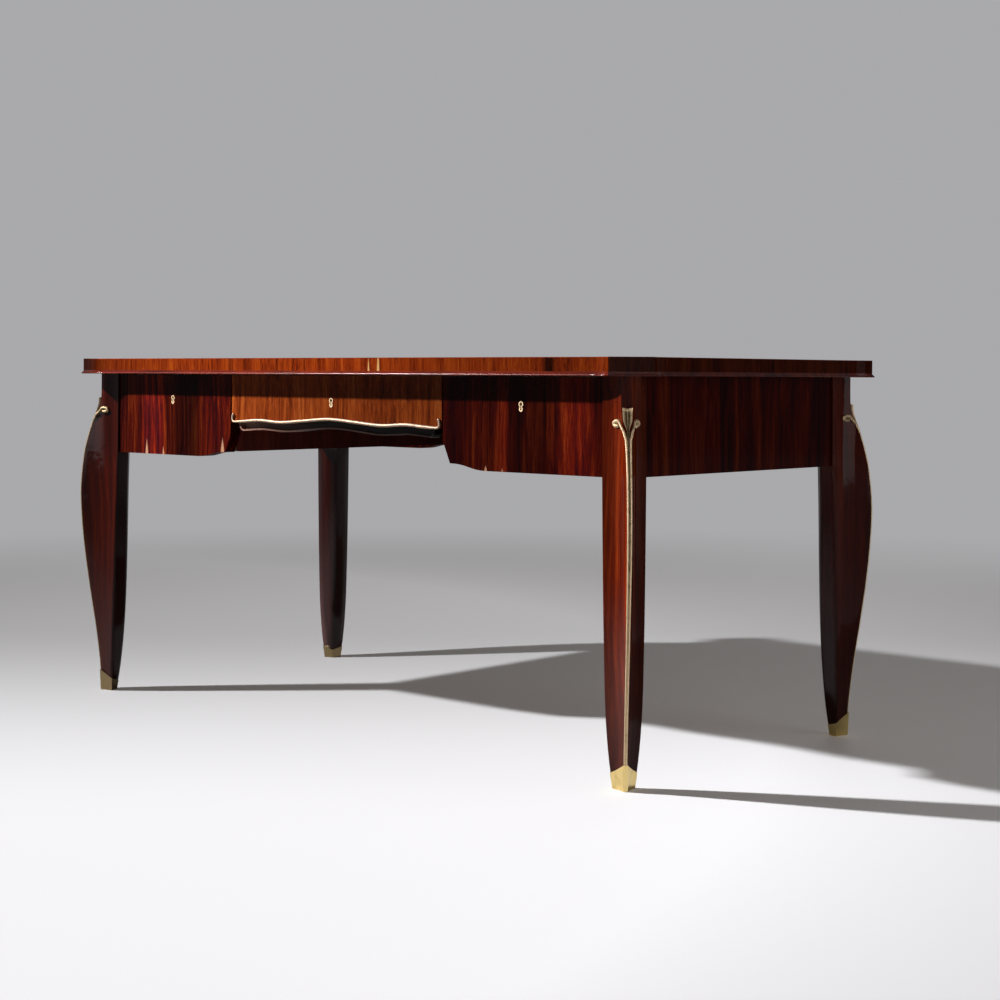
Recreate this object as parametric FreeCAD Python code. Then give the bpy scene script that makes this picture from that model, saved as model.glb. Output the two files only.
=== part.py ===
import FreeCAD, Part
import math
import os

# A writing desk on four curved legs, double sided, with three locking drawers in front.
# Millimetres. X runs to the right, Y to the back, Z up. The origin is on the floor, under the middle.

# Overall size
desk_length = 1654.0
desk_depth = 828.0
desk_height = 760.0

# Running and joint clearances
seat_gap = 0.3
slide_gap = 0.4
front_gap = 1.2
overrun = 5.0
join_tolerance = 0.01

# Table top: a core, solid lippings, a cross banded border and a field of veneer
top_thickness = 26.0
veneer_thickness = 1.2
lipping_width = 5.0
border_width = 72.0
ear_reach = 20.0
ear_cant = 57.5
ear_flare = 54.5

# Moulded board under the top
under_height = 8.0
bead_reach = 4.2
bead_height = 3.4
bead_round = 1.5
fillet_reach = 1.8
fillet_height = 2.0

# Carcass: posts, faces and the heights of the boxes
side_overhang = 58.8
front_overhang = 54.8
post_width = 55.6
face_recess = 4.0
box_height = 179.0
knee_width = 633.0
knee_panel_lift = 13.0

# Lower outline of a side box, seen from the front
ogee_start = 130.0
ogee_length = 97.0
ogee_rise = 11.3
slant_run = 18.5
slant_rise = 41.0

# Panels and boards
end_thickness = 22.0
knee_thickness = 18.0
rear_thickness = 26.0
rear_centre_thickness = 20.0
floor_thickness = 10.0
floor_lift = 15.0
floor_housing = 5.0
tenon_thickness = 9.0
tenon_length = 20.0
tenon_shoulder = 24.0

# Rails, kickers, runners and blocks
rail_height = 18.0
rail_depth = 17.0
rail_tenon = 12.0
kicker_width = 17.0
kicker_height = 30.0
runner_height = 6.0
runner_width = 17.0
centre_runner_height = 13.0
guide_height = 26.0
stop_length = 14.0
stop_height = 22.0
centre_stop_height = 18.0
stop_gap = 0.6
block_length = 60.0
block_side = 20.0
block_spacing = 190.0

# Drawer fronts and boxes
front_thickness = 26.0
front_lip = 11.0
front_top_gap = 2.0
rail_gap = 0.6
back_gap = 0.5
drawer_room = 138.4
drawer_side = 12.0
drawer_side_gap = 2.0
kicker_gap = 5.0
drawer_housing = 6.0
drawer_bottom = 6.0
drawer_bottom_lift = 8.0
drawer_groove = 5.0
centre_gap = 4.0
centre_box_inset = 1.0

# Centre drawer: shaped lower edge, bar of the pull and grip under it
edge_drop = 101.9
crest_rise = 9.3
small_crest_rise = 3.0
end_fall = 2.0
pull_half_height = 3.4
pull_depth = 9.0
pull_end_run = 34.0
hook_depth = 5.0
hook_radius = 8.0
hook_eye = 4.2
hook_inset = 11.5
hook_rise = 9.0
hook_ball = 2.7
grip_height = 20.0
grip_inset = 3.0
grip_end_inset = 21.0
grip_round = 16.0
grip_lip = 3.0
grip_hollow = 12.0

# Locks
key_drop = 57.0
key_offset = 516.0
plate_head_radius = 5.4
plate_foot_radius = 4.6
plate_waist = 3.1
plate_centres = 9.4
plate_depth = 3.0
plate_stand = 0.6
plate_fit = 0.1
key_head_radius = 3.3
key_slot_radius = 1.9
key_slot_half_width = 1.4
case_width = 60.0
case_head_gap = 12.0
case_back_wall = 4.0
case_foot = 19.0
case_floor_gap = 4.7
bolt_width = 24.0
bolt_thickness = 4.6
bolt_gap = 0.6
bolt_foot = 5.0
bolt_stand = 2.0
key_bore_radius = 2.6

# Legs: lengths that the shares below multiply
ridge_reach = 48.5
land_half_width = 11.0
inner_reach = 58.5
chamfer_half_width = 10.5
blend_overlap = 26.0

# Leg stations, as shares of the height under the boxes, from the floor up
low_level_shares = (0.0, 0.11, 0.256, 0.42, 0.585, 0.731, 0.859, 1.0, 1.0475)
low_ridge_shares = (-0.01, 0.062, 0.258, 0.546, 0.804, 0.959, 1.0, 0.845, 0.722)
low_width_shares = (0.496, 0.694, 0.84, 0.901, 0.942, 0.967, 0.985, 1.0, 1.0)
low_corner_shares = (0.636, 0.662, 0.712, 0.763, 0.827, 0.891, 0.947, 1.0, 1.0)
low_inner_shares = (0.564, 0.72, 0.846, 0.915, 0.945, 0.961, 0.974, 1.0, 1.0)
low_chamfer_shares = (0.12, 0.12, 0.143, 0.448, 0.667, 0.819, 0.914, 1.0, 1.0)
low_land_shares = (0.309, 0.318, 0.327, 0.345, 0.38, 0.42, 0.44, 0.46, 0.48)

# Leg stations beside the boxes, as shares of the height of the boxes
high_level_shares = (-0.145, 0.0, 0.145, 0.296, 0.42, 0.52, 0.62, 0.68, 0.8, 1.0)
high_ridge_shares = (0.928, 0.845, 0.722, 0.567, 0.4, 0.237, 0.12, 0.08, 0.064, 0.064)
high_land_shares = (0.45, 0.46, 0.48, 0.53, 0.63, 0.84, 0.95, 0.99, 1.0, 1.0)
low_steps = 22
high_steps = 16

# Cast mount on the leg: palmette, two scrolls, two stems and a reeded strip
cast_thickness = 3.0
cast_hollow = 1.3
cast_wrap = 24.0
strip_hollow_share = 0.32
strip_margin = 0.2
strip_drop = 108.0
collar_height = 12.0
collar_half_width = 6.2
palmette_drop = 55.0
palmette_half_width = 9.6
palmette_height = 46.0
palmette_scoop = 2.4
scroll_offset = 16.0
scroll_drop = 83.0
scroll_radius = 7.7
scroll_eye = 3.9
scroll_gap_angle = 55.0
stem_half_width = 2.1
stem_foot_offset = 4.5
lug_side = 4.0
lug_length = 9.0
lug_level_shares = (0.2, 0.5, 0.8)

# Sabots
sabot_ridge_height = 46.0
sabot_slope_share = 0.613
sabot_proud = 1.0
sabot_steps = 4
spigot_side = 19.0
spigot_reach = 21.0
spigot_foot = 7.0
spigot_head = 52.0

# Screws that hold the top
screw_radius = 2.0
screw_fit = 0.05
screw_head_radius = 4.0
screw_head_height = 2.4
screw_grip = 16.0
screw_row_shares = (0.2, 0.74)

# Planes and levels worked out from the sizes above
top_half_x = desk_length / 2
top_half_y = desk_depth / 2
under_z = desk_height - top_thickness
carcass_top = under_z - under_height
box_bottom = carcass_top - box_height
post_x = top_half_x - side_overhang
post_y = top_half_y - front_overhang
inner_post_x = post_x - post_width
inner_post_y = post_y - post_width
face_x = post_x - face_recess
face_y = post_y - face_recess
end_inner_x = face_x - end_thickness
knee_x = knee_width / 2
knee_outer_x = knee_x + knee_thickness
front_back_y = face_y - front_thickness
carcass_y = front_back_y - back_gap
rear_y = face_y - rear_thickness
drawer_length = front_back_y + rear_y - drawer_room
front_top = carcass_top - front_top_gap
rail_bottom = carcass_top - rail_height
rail_front_y = face_y - front_lip - rail_gap
rail_back_y = rail_front_y - rail_depth
floor_z = box_bottom + floor_lift
floor_top = floor_z + floor_thickness
knee_bottom = box_bottom + knee_panel_lift
kicker_bottom = carcass_top - kicker_height
side_top = kicker_bottom - kicker_gap
side_bottom = floor_top + runner_height + seat_gap
edge_z = carcass_top - edge_drop
strip_head = carcass_top - strip_drop
key_z = carcass_top - key_drop
case_bottom = key_z - case_foot
case_top = rail_bottom - case_head_gap
bolt_front_y = rail_back_y - bolt_gap
case_back_y = bolt_front_y - bolt_thickness - case_back_wall
centre_side_bottom = case_bottom - case_floor_gap - drawer_bottom - drawer_bottom_lift
centre_half = knee_x - centre_gap
half_diagonal = post_width / math.sqrt(2)

UP = FreeCAD.Vector(0, 0, 1)
ORIGIN = FreeCAD.Vector(0, 0, 0)


def block(x_low, x_high, y_low, y_high, z_low, z_high):
    corner = FreeCAD.Vector(min(x_low, x_high), min(y_low, y_high), z_low)
    return Part.makeBox(abs(x_high - x_low), abs(y_high - y_low), z_high - z_low, corner)


def face_xz(points, y):
    corners = [FreeCAD.Vector(x, y, z) for x, z in points]
    return Part.Face(Part.makePolygon(corners + corners[:1]))


def mirror_x(shape):
    return shape.mirror(ORIGIN, FreeCAD.Vector(1, 0, 0))


def both_sides(shape):
    return Part.makeCompound([shape, mirror_x(shape)])


def round_bar(x, z, radius, y_low, y_high):
    return Part.makeCylinder(radius, y_high - y_low, FreeCAD.Vector(x, y_low, z), FreeCAD.Vector(0, 1, 0))


# Table top
def flare_middle(start, end, along):
    # The point half way along an arc that leaves the straight edge without a kink
    run = abs((end - start).dot(along))
    rise = (end - start - along * run).Length
    radius = (run * run + rise * rise) / (2 * rise)
    half = run / 2
    lift = radius - math.sqrt(radius * radius - half * half)
    away = (end - start - along * run).normalize()
    return start + along * half + away * lift


def top_corner(grow, z):
    # The front right corner, drawn from the front edge round to the right edge
    edge_y = -(top_half_y - ear_reach + grow)
    edge_x = top_half_x - ear_reach + grow
    slip = grow * (math.sqrt(2) - 1)
    cant_a = FreeCAD.Vector(top_half_x - ear_cant + slip, -top_half_y - grow, z)
    cant_b = FreeCAD.Vector(top_half_x + grow, -top_half_y + ear_cant - slip, z)
    flare_a = FreeCAD.Vector(top_half_x - ear_cant - ear_flare, edge_y, z)
    flare_b = FreeCAD.Vector(edge_x, -top_half_y + ear_cant + ear_flare, z)
    middle_a = flare_middle(flare_a, cant_a, FreeCAD.Vector(1, 0, 0))
    middle_b = flare_middle(flare_b, cant_b, FreeCAD.Vector(0, -1, 0))
    return (flare_a, middle_a, cant_a, cant_b, middle_b, flare_b)


def corner_edges(points):
    flare_a, middle_a, cant_a, cant_b, middle_b, flare_b = points
    return [
        Part.Arc(flare_a, middle_a, cant_a).toShape(),
        Part.makeLine(cant_a, cant_b),
        Part.Arc(cant_b, middle_b, flare_b).toShape(),
    ]


def top_outline(grow, z):
    front_right = top_corner(grow, z)
    back_right = tuple(FreeCAD.Vector(p.x, -p.y, p.z) for p in reversed(front_right))
    back_left = tuple(FreeCAD.Vector(-p.x, -p.y, p.z) for p in front_right)
    front_left = tuple(FreeCAD.Vector(-p.x, p.y, p.z) for p in reversed(front_right))
    corners = (front_right, back_right, back_left, front_left)
    edges = []
    for index, corner in enumerate(corners):
        following = corners[(index + 1) % len(corners)]
        edges.extend(corner_edges(corner))
        edges.append(Part.makeLine(corner[-1], following[0]))
    return Part.Face(Part.Wire(edges))


def top_plate(grow, z_low, z_high):
    return top_outline(grow, z_low).extrude(UP * (z_high - z_low))


def screw_places():
    places = []
    for share in screw_row_shares:
        for side in (-1, 1):
            places.append((side * share * inner_post_x, -(rail_front_y + rail_back_y) / 2))
            places.append((side * share * inner_post_x, rear_y - rail_depth / 2))
    return places


def screw_holes():
    radius = screw_radius + screw_fit
    head_radius = screw_head_radius + screw_fit
    depth = under_z + screw_grip - rail_bottom
    holes = []
    for x, y in screw_places():
        foot = FreeCAD.Vector(x, y, rail_bottom)
        holes.append(Part.makeCylinder(radius, depth, foot))
        holes.append(Part.makeCone(head_radius, radius, screw_head_height, foot))
    return Part.makeCompound(holes)


def top_screws():
    length = under_z + screw_grip - rail_bottom - screw_head_height
    screws = []
    for x, y in screw_places():
        foot = FreeCAD.Vector(x, y, rail_bottom)
        shank = Part.makeCylinder(screw_radius, length, foot + UP * screw_head_height)
        head = Part.makeCone(screw_head_radius, screw_radius, screw_head_height, foot)
        screws.append(shank.fuse(head).removeSplitter())
    return Part.makeCompound(screws)


def top_core():
    plate = top_plate(-lipping_width, under_z, desk_height - veneer_thickness)
    return plate.cut(screw_holes())


def top_lipping():
    outer = top_plate(0, under_z, desk_height - veneer_thickness)
    inner = top_plate(-lipping_width, under_z, desk_height - veneer_thickness)
    return outer.cut(inner)


def field_block():
    half_x = top_half_x - ear_reach - border_width
    half_y = top_half_y - ear_reach - border_width
    return block(-half_x, half_x, -half_y, half_y, desk_height - veneer_thickness, desk_height)


def top_border():
    return top_plate(0, desk_height - veneer_thickness, desk_height).cut(field_block())


def under_board():
    fillet_top = carcass_top + bead_height + fillet_height
    board = top_plate(0, carcass_top, under_z)
    fillet = top_plate(fillet_reach, carcass_top + bead_height, fillet_top)
    bead = top_plate(bead_reach, carcass_top, carcass_top + bead_height)
    rim = []
    for edge in bead.Edges:
        level = abs(edge.BoundBox.ZMax - edge.BoundBox.ZMin) < bead_height / 2
        if level:
            rim.append(edge)
    bead = bead.makeFillet(bead_round, rim)
    return board.fuse([fillet, bead]).removeSplitter().cut(screw_holes())


# Outline of a side box
def side_outline(outer_x, top_z, y):
    low = box_bottom + ogee_rise
    inner, outer = knee_x + slant_run, inner_post_x - ogee_start
    ogee_end = min(inner + ogee_length, outer)
    near = FreeCAD.Vector(inner, y, low)
    far = FreeCAD.Vector(inner + (ogee_end - inner), y, box_bottom)
    flat = (far.x - near.x) / 2
    ogee = Part.BezierCurve()
    ogee.setPoles([near, near + FreeCAD.Vector(flat, 0, 0), far - FreeCAD.Vector(flat, 0, 0), far])
    slant_top = FreeCAD.Vector(knee_x, y, low + slant_rise)
    top_inner = FreeCAD.Vector(knee_x, y, top_z)
    top_outer = FreeCAD.Vector(outer_x, y, top_z)
    foot = FreeCAD.Vector(outer_x, y, box_bottom)
    edges = [
        Part.makeLine(top_inner, slant_top),
        Part.makeLine(slant_top, near),
        ogee.toShape(),
        Part.makeLine(far, foot),
        Part.makeLine(foot, top_outer),
        Part.makeLine(top_outer, top_inner),
    ]
    return Part.Face(Part.Wire(edges))


# Legs. In the leg's own frame X points outward along its diagonal and the post's corner is at X = 0.
def smooth_value(levels, values, level):
    # Cubic through the stations, with slopes taken from the neighbours
    last = len(levels) - 1
    index = 0
    while index < last - 1 and level > levels[index + 1]:
        index += 1
    span = levels[index + 1] - levels[index]
    t = (level - levels[index]) / span

    def slope(i):
        before, after = max(i - 1, 0), min(i + 1, last)
        return (values[after] - values[before]) / (levels[after] - levels[before])

    a, b = values[index], values[index + 1]
    m, n = slope(index) * span, slope(index + 1) * span
    cubic = 2 * a - 2 * b + m + n
    square = -3 * a + 3 * b - 2 * m - n
    return ((cubic * t + square) * t + m) * t + a


def low_station(share):
    def pick(shares):
        return smooth_value(low_level_shares, shares, share)

    return (
        share * box_bottom,
        pick(low_ridge_shares) * ridge_reach,
        pick(low_land_shares) * land_half_width,
        pick(low_corner_shares) * half_diagonal,
        pick(low_width_shares) * half_diagonal,
        pick(low_inner_shares) * inner_reach,
        pick(low_chamfer_shares) * chamfer_half_width,
    )


def high_station(share):
    def pick(shares):
        return smooth_value(high_level_shares, shares, share)

    z = box_bottom + share * box_height
    ridge = pick(high_ridge_shares) * ridge_reach
    land = pick(high_land_shares) * land_half_width
    return (z, ridge, land, half_diagonal, half_diagonal, inner_reach, chamfer_half_width)


def hollow_middle(start, end):
    # The middle of an arc that meets the side corner along the face of the post
    run, fall = start.x - end.x, abs(start.y - end.y)
    turn = math.pi / 4 - math.atan2(fall, run)
    sag = math.hypot(run, fall) / 2 * math.tan(max(turn, 0) / 2)
    side = math.copysign(1, end.y)
    inward = FreeCAD.Vector(-fall, -side * run, 0).normalize()
    return (start + end) * (1 / 2) + inward * sag


def leg_wire(station, proud, ridge_proud):
    z, ridge, land, corner, width, inner, chamfer = station
    right_land = FreeCAD.Vector(ridge + ridge_proud, land + proud, z)
    left_land = FreeCAD.Vector(ridge + ridge_proud, -land - proud, z)
    right_corner = FreeCAD.Vector(-corner, width + proud, z)
    left_corner = FreeCAD.Vector(-corner, -width - proud, z)
    right_inner = FreeCAD.Vector(-inner - proud, chamfer, z)
    left_inner = FreeCAD.Vector(-inner - proud, -chamfer, z)
    edges = [
        Part.makeLine(left_land, right_land),
        Part.Arc(right_land, hollow_middle(right_land, right_corner), right_corner).toShape(),
        Part.makeLine(right_corner, right_inner),
        Part.makeLine(right_inner, left_inner),
        Part.makeLine(left_inner, left_corner),
        Part.Arc(left_corner, hollow_middle(left_land, left_corner), left_land).toShape(),
    ]
    return Part.Wire(edges)


def spread(low, high, steps):
    return [low + (high - low) * index / steps for index in range(steps + 1)]


def low_shares():
    return spread(low_level_shares[0], low_level_shares[-1], low_steps)


def high_shares():
    return spread(high_level_shares[0], high_level_shares[-1], high_steps)


def wide_block(z_low, z_high):
    reach = post_width + ridge_reach + inner_reach
    return block(-reach, reach, -reach, reach, z_low, z_high)


def sabot_plane_block(above):
    # Everything above, or below, the slanting upper edge of the sabot
    reach = post_width + ridge_reach + inner_reach
    ridge = low_station(sabot_ridge_height / box_bottom)[1] + cast_thickness
    high = sabot_ridge_height + (reach - ridge) * sabot_slope_share
    low = sabot_ridge_height - (reach + ridge) * sabot_slope_share
    far = desk_height if above else -desk_height
    corners = [(reach, high), (-reach, low), (-reach, far), (reach, far)]
    return face_xz(corners, -reach).extrude(FreeCAD.Vector(0, 2 * reach, 0))


def spigot():
    half = spigot_side / 2
    return block(-spigot_reach - half, -spigot_reach + half, -half, half, spigot_foot, spigot_head)


def leg_blade():
    low = Part.makeLoft([leg_wire(low_station(s), 0, 0) for s in low_shares()], True, False)
    high = Part.makeLoft([leg_wire(high_station(s), 0, 0) for s in high_shares()], True, False)
    low = low.common(wide_block(0, box_bottom)).common(sabot_plane_block(True))
    high = high.common(wide_block(box_bottom, carcass_top))
    corners = [(-half_diagonal, -half_diagonal), (-2 * half_diagonal, 0), (-half_diagonal, half_diagonal)]
    vectors = [FreeCAD.Vector(x, y, box_bottom) for x, y in corners]
    heel = Part.Face(Part.makePolygon(vectors + vectors[:1])).extrude(UP * box_height)
    return low.fuse([high, heel, spigot()], join_tolerance)


def sabot_local():
    shares = spread(0, (sabot_ridge_height + sabot_proud) * 2 / box_bottom, sabot_steps)
    wires = [leg_wire(low_station(s), sabot_proud, cast_thickness) for s in shares]
    body = Part.makeLoft(wires, True, False)
    body = body.common(sabot_plane_block(False)).common(wide_block(0, desk_height))
    return body.cut(spigot())


# Cast mount, drawn in the leg's own frame
def ridge_track():
    low = [s for s in low_shares() if s * box_bottom < box_bottom - blend_overlap / 2]
    high = [s for s in high_shares() if s > 0]
    return [low_station(s)[:3] for s in low] + [high_station(s)[:3] for s in high]


def track_band(inner, outer, half_width):
    track = ridge_track()
    inner_curve = Part.BSplineCurve()
    inner_curve.interpolate([FreeCAD.Vector(ridge + inner, -half_width, z) for z, ridge, land in track])
    outer_curve = Part.BSplineCurve()
    outer_curve.interpolate([FreeCAD.Vector(ridge + outer, -half_width, z) for z, ridge, land in track])
    edges = [
        inner_curve.toShape(),
        Part.makeLine(inner_curve.EndPoint, outer_curve.EndPoint),
        outer_curve.toShape(),
        Part.makeLine(outer_curve.StartPoint, inner_curve.StartPoint),
    ]
    return Part.Face(Part.Wire(edges)).extrude(FreeCAD.Vector(0, 2 * half_width, 0))


def outward(face):
    # From beside the ridge to well outside it
    face.translate(FreeCAD.Vector(-cast_wrap, 0, 0))
    return face.extrude(FreeCAD.Vector(cast_wrap + 2 * ridge_reach, 0, 0))


def face_tz(points):
    corners = [FreeCAD.Vector(0, t, z) for t, z in points]
    return Part.Face(Part.makePolygon(corners + corners[:1]))


def curve_band(centres, half_width):
    sides = []
    for side in (-1, 1):
        curve = Part.BSplineCurve()
        curve.interpolate([FreeCAD.Vector(0, t + side * half_width, z) for t, z in centres])
        sides.append(curve)
    edges = [
        sides[0].toShape(),
        Part.makeLine(sides[0].EndPoint, sides[1].EndPoint),
        sides[1].toShape(),
        Part.makeLine(sides[1].StartPoint, sides[0].StartPoint),
    ]
    return Part.Face(Part.Wire(edges))


def strip_outline(width_share):
    # The strip lies on the flat along the ridge, up to the collar under the palmette
    foot_z = sabot_ridge_height / 2
    rows = [(z, land - strip_margin) for z, ridge, land in ridge_track() if foot_z < z < strip_head]
    rows = [(foot_z, rows[0][1])] + rows + [(strip_head, rows[-1][1])]
    right = [(width_share * half, z) for z, half in rows]
    return face_tz(right + [(-t, z) for t, z in reversed(right)])


def scroll(side):
    z = carcass_top - scroll_drop
    start = FreeCAD.Vector(-cast_wrap, side * scroll_offset, z)
    along = FreeCAD.Vector(1, 0, 0)
    depth = cast_wrap + 2 * ridge_reach
    outer = Part.makeCylinder(scroll_radius, depth, start, along)
    eye = Part.makeCylinder(scroll_eye, depth, start, along)
    low = math.radians(180 - scroll_gap_angle / 2)
    wide = 2 * scroll_radius
    turn = math.radians(scroll_gap_angle)
    corners = [(side * scroll_offset, z)]
    for angle in (low + turn / 2, low + turn):
        reach = scroll_offset + wide * math.cos(angle)
        corners.append((side * reach, z + wide * math.sin(angle)))
    wedge = face_tz(corners)
    return outer.cut(eye).cut(outward(wedge))


def stem_centres(side):
    crown = carcass_top - scroll_drop + scroll_radius - stem_half_width
    rise = crown - strip_head
    offset_shares = (0.0, 0.06, 0.18, 0.45, 0.74, 1.0)
    rise_shares = (0.0, 0.33, 0.59, 0.82, 0.95, 1.0)
    span = scroll_offset - stem_foot_offset
    centres = []
    for across, up in zip(offset_shares, rise_shares):
        centres.append((side * (stem_foot_offset + across * span), strip_head + up * rise))
    return centres


def palmette_outline():
    head = carcass_top - palmette_drop
    rise_shares = (0.0, 0.22, 0.42, 0.6, 0.78, 1.0)
    width_shares = (0.12, 0.36, 0.62, 0.76, 0.86, 1.0)
    foot = head - palmette_height
    widths = [share * palmette_half_width for share in width_shares]
    levels = [foot + share * palmette_height for share in rise_shares]
    rows = list(zip(widths, levels))
    sides = []
    for side in (-1, 1):
        curve = Part.BSplineCurve()
        curve.interpolate([FreeCAD.Vector(0, side * t, z) for t, z in rows])
        sides.append(curve)
    crown = FreeCAD.Vector(0, 0, head - palmette_scoop)
    edges = [
        sides[0].toShape(),
        Part.Arc(sides[0].EndPoint, crown, sides[1].EndPoint).toShape(),
        sides[1].toShape(),
        Part.makeLine(sides[1].StartPoint, sides[0].StartPoint),
    ]
    return Part.Face(Part.Wire(edges))


def lug_levels():
    foot = sabot_ridge_height
    return [foot + share * (box_bottom - foot) for share in lug_level_shares]


def lug(z):
    ridge = low_station(z / box_bottom)[1]
    half = lug_side / 2
    return block(ridge - lug_length, ridge + cast_thickness / 2, -half, half, z - half, z + half)


def head_lug():
    z = carcass_top - palmette_drop - lug_side
    ridge = high_station((z - box_bottom) / box_height)[1]
    half = lug_side / 2
    return block(ridge - lug_length, ridge + cast_thickness / 2, -half, half, z - lug_side, z)


def all_lugs():
    return [lug(z) for z in lug_levels()] + [head_lug()]


def mount_skin(inner, outer):
    # The space between two skins that lie over the upper leg at the given distances
    shells = []
    for stand in (inner, outer):
        wires = [leg_wire(high_station(s), stand, stand) for s in high_shares()]
        shells.append(Part.makeLoft(wires, True, False))
    return shells[1].cut(shells[0])


def mount_strip():
    width = scroll_offset + 2 * scroll_radius
    band = track_band(seat_gap, seat_gap + cast_thickness, width)
    hollow = track_band(seat_gap + cast_thickness - cast_hollow, 2 * cast_thickness, width)
    strip = band.common(outward(strip_outline(1)))
    return strip.cut(hollow.common(outward(strip_outline(strip_hollow_share))))


def mount_head():
    # Palmette, stems and scrolls, bent back over the two faces beside the ridge
    outline = outward(palmette_outline())
    half = collar_half_width
    crown = strip_head + collar_height
    pieces = [outward(face_tz([(-half, strip_head), (half, strip_head), (half, crown), (-half, crown)]))]
    for side in (-1, 1):
        pieces.append(scroll(side))
        pieces.append(outward(curve_band(stem_centres(side), stem_half_width)))
    outline = outline.fuse(pieces)
    skin = mount_skin(seat_gap, seat_gap + cast_thickness)
    return skin.common(outline).common(wide_block(strip_head, carcass_top))


def mount_local():
    casting = mount_strip().fuse([mount_head()] + all_lugs(), join_tolerance)
    return casting.common(sabot_plane_block(True)).removeSplitter()


def leg_local():
    return leg_blade().cut(Part.makeCompound(all_lugs())).removeSplitter()


CORNERS = {"front_left": (-1, -1), "front_right": (1, -1), "rear_right": (1, 1), "rear_left": (-1, 1)}


def placed(shape, corner):
    side, end = CORNERS[corner]
    copy = shape.copy()
    copy.rotate(ORIGIN, UP, math.degrees(math.atan2(end, side)))
    copy.translate(FreeCAD.Vector(side * post_x, end * post_y, 0))
    return copy


# Panels
def end_tenon(end):
    # The tenon of the right end panel at its front or rear post
    middle = face_x - end_thickness / 2
    half = tenon_thickness / 2
    root = end * (inner_post_y - overrun)
    tip = end * (inner_post_y + tenon_length)
    low, high = box_bottom + tenon_shoulder, carcass_top - tenon_shoulder
    return block(middle - half, middle + half, root, tip, low, high)


def floor_board():
    # The board under the right drawer, notched round the posts
    board = block(
        knee_outer_x - floor_housing, end_inner_x + floor_housing, -carcass_y, rear_y, floor_z, floor_top
    )
    for end in (-1, 1):
        notch = block(inner_post_x, post_x, end * inner_post_y, end * post_y, floor_z, floor_top)
        board = board.cut(notch)
    return board


def end_panel():
    panel = block(end_inner_x, face_x, -inner_post_y, inner_post_y, box_bottom, carcass_top)
    panel = panel.fuse([end_tenon(-1), end_tenon(1)]).removeSplitter()
    return panel.cut(floor_board())


def front_rail():
    half = inner_post_x + rail_tenon
    rail = block(-half, half, -rail_front_y, -rail_back_y, rail_bottom, carcass_top)
    return rail.cut(screw_holes())


def rear_rail():
    half = inner_post_x + rail_tenon
    tenons = block(-half, half, rear_y - rail_depth, rear_y, rail_bottom, carcass_top)
    return tenons.cut(screw_holes())


def knee_panel():
    panel = block(knee_x, knee_outer_x, -carcass_y, rear_y, knee_bottom, carcass_top)
    reach = inner_post_x
    panel = panel.cut(block(0, reach, -rail_front_y, -rail_back_y, rail_bottom, carcass_top))
    panel = panel.cut(block(0, reach, rear_y - rail_depth, rear_y, rail_bottom, carcass_top))
    return panel.cut(floor_board())


def rear_tenon():
    middle = face_y - rear_thickness / 2
    half = tenon_thickness / 2
    root, tip = inner_post_x - overrun, inner_post_x + tenon_length
    low, high = box_bottom + tenon_shoulder, carcass_top - tenon_shoulder
    return block(root, tip, middle - half, middle + half, low, high)


def rear_side_panel():
    panel = side_outline(inner_post_x, carcass_top, rear_y).extrude(FreeCAD.Vector(0, rear_thickness, 0))
    return panel.fuse(rear_tenon()).removeSplitter()


def rear_centre_panel():
    outline = centre_outline(knee_x, carcass_top, 0, face_y - rear_centre_thickness)
    return outline.extrude(FreeCAD.Vector(0, rear_centre_thickness, 0))


def leg_mortises():
    return Part.makeCompound([end_tenon(-1), end_tenon(1), rear_tenon(), front_rail(), rear_rail()])


def leg(shape, corner):
    side, end = CORNERS[corner]
    shape = placed(shape, corner)
    mortises = leg_mortises()
    if side < 0:
        mortises = mirror_x(mortises)
    return shape.cut(mortises)


# Runners, kickers, stops and blocks
def side_runners():
    low_y, high_y = -carcass_y, rear_y
    top_z = floor_top + runner_height
    side_x = inner_post_x - drawer_side_gap
    near = block(knee_outer_x, knee_outer_x + runner_width, low_y, high_y, floor_top, top_z)
    far = block(side_x - runner_width, inner_post_x, low_y, high_y, floor_top, top_z)
    guide_y = inner_post_y
    guide = block(inner_post_x, end_inner_x, -guide_y, guide_y, floor_top, floor_top + guide_height)
    return Part.makeCompound([near, far, guide])


def centre_runners():
    top_z = centre_side_bottom - seat_gap
    inner = knee_x - runner_width
    runner = block(inner, knee_x, -carcass_y, rear_y, top_z - centre_runner_height, top_z)
    return both_sides(runner)


def kickers():
    low_y, high_y = -rail_back_y, rear_y - rail_depth
    pieces = []
    for low_x in (knee_x - kicker_width, knee_outer_x, inner_post_x - kicker_width):
        piece = block(low_x, low_x + kicker_width, low_y, high_y, kicker_bottom, carcass_top)
        pieces.extend([piece, mirror_x(piece)])
    return Part.makeCompound(pieces)


def drawer_stops():
    near = -front_back_y + drawer_length + stop_gap
    far = near + stop_length
    runner_top = floor_top + runner_height
    side_x = inner_post_x - drawer_side_gap
    pieces = []
    for low_x in (knee_outer_x, side_x - runner_width):
        high_x = low_x + runner_width
        pieces.append(block(low_x, high_x, near, far, runner_top, runner_top + stop_height))
    top_z = centre_side_bottom - seat_gap
    pieces.append(block(knee_x - runner_width, knee_x, near, far, top_z, top_z + centre_stop_height))
    return Part.makeCompound(pieces + [mirror_x(piece) for piece in pieces])


def glue_blocks():
    pieces = []
    for place in (-1, 0, 1):
        middle = place * block_spacing
        low, high = middle - block_length / 2, middle + block_length / 2
        low_x, low_z = end_inner_x - block_side, carcass_top - block_side
        piece = block(low_x, end_inner_x, low, high, low_z, carcass_top)
        pieces.extend([piece, mirror_x(piece)])
    return Part.makeCompound(pieces)


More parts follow.
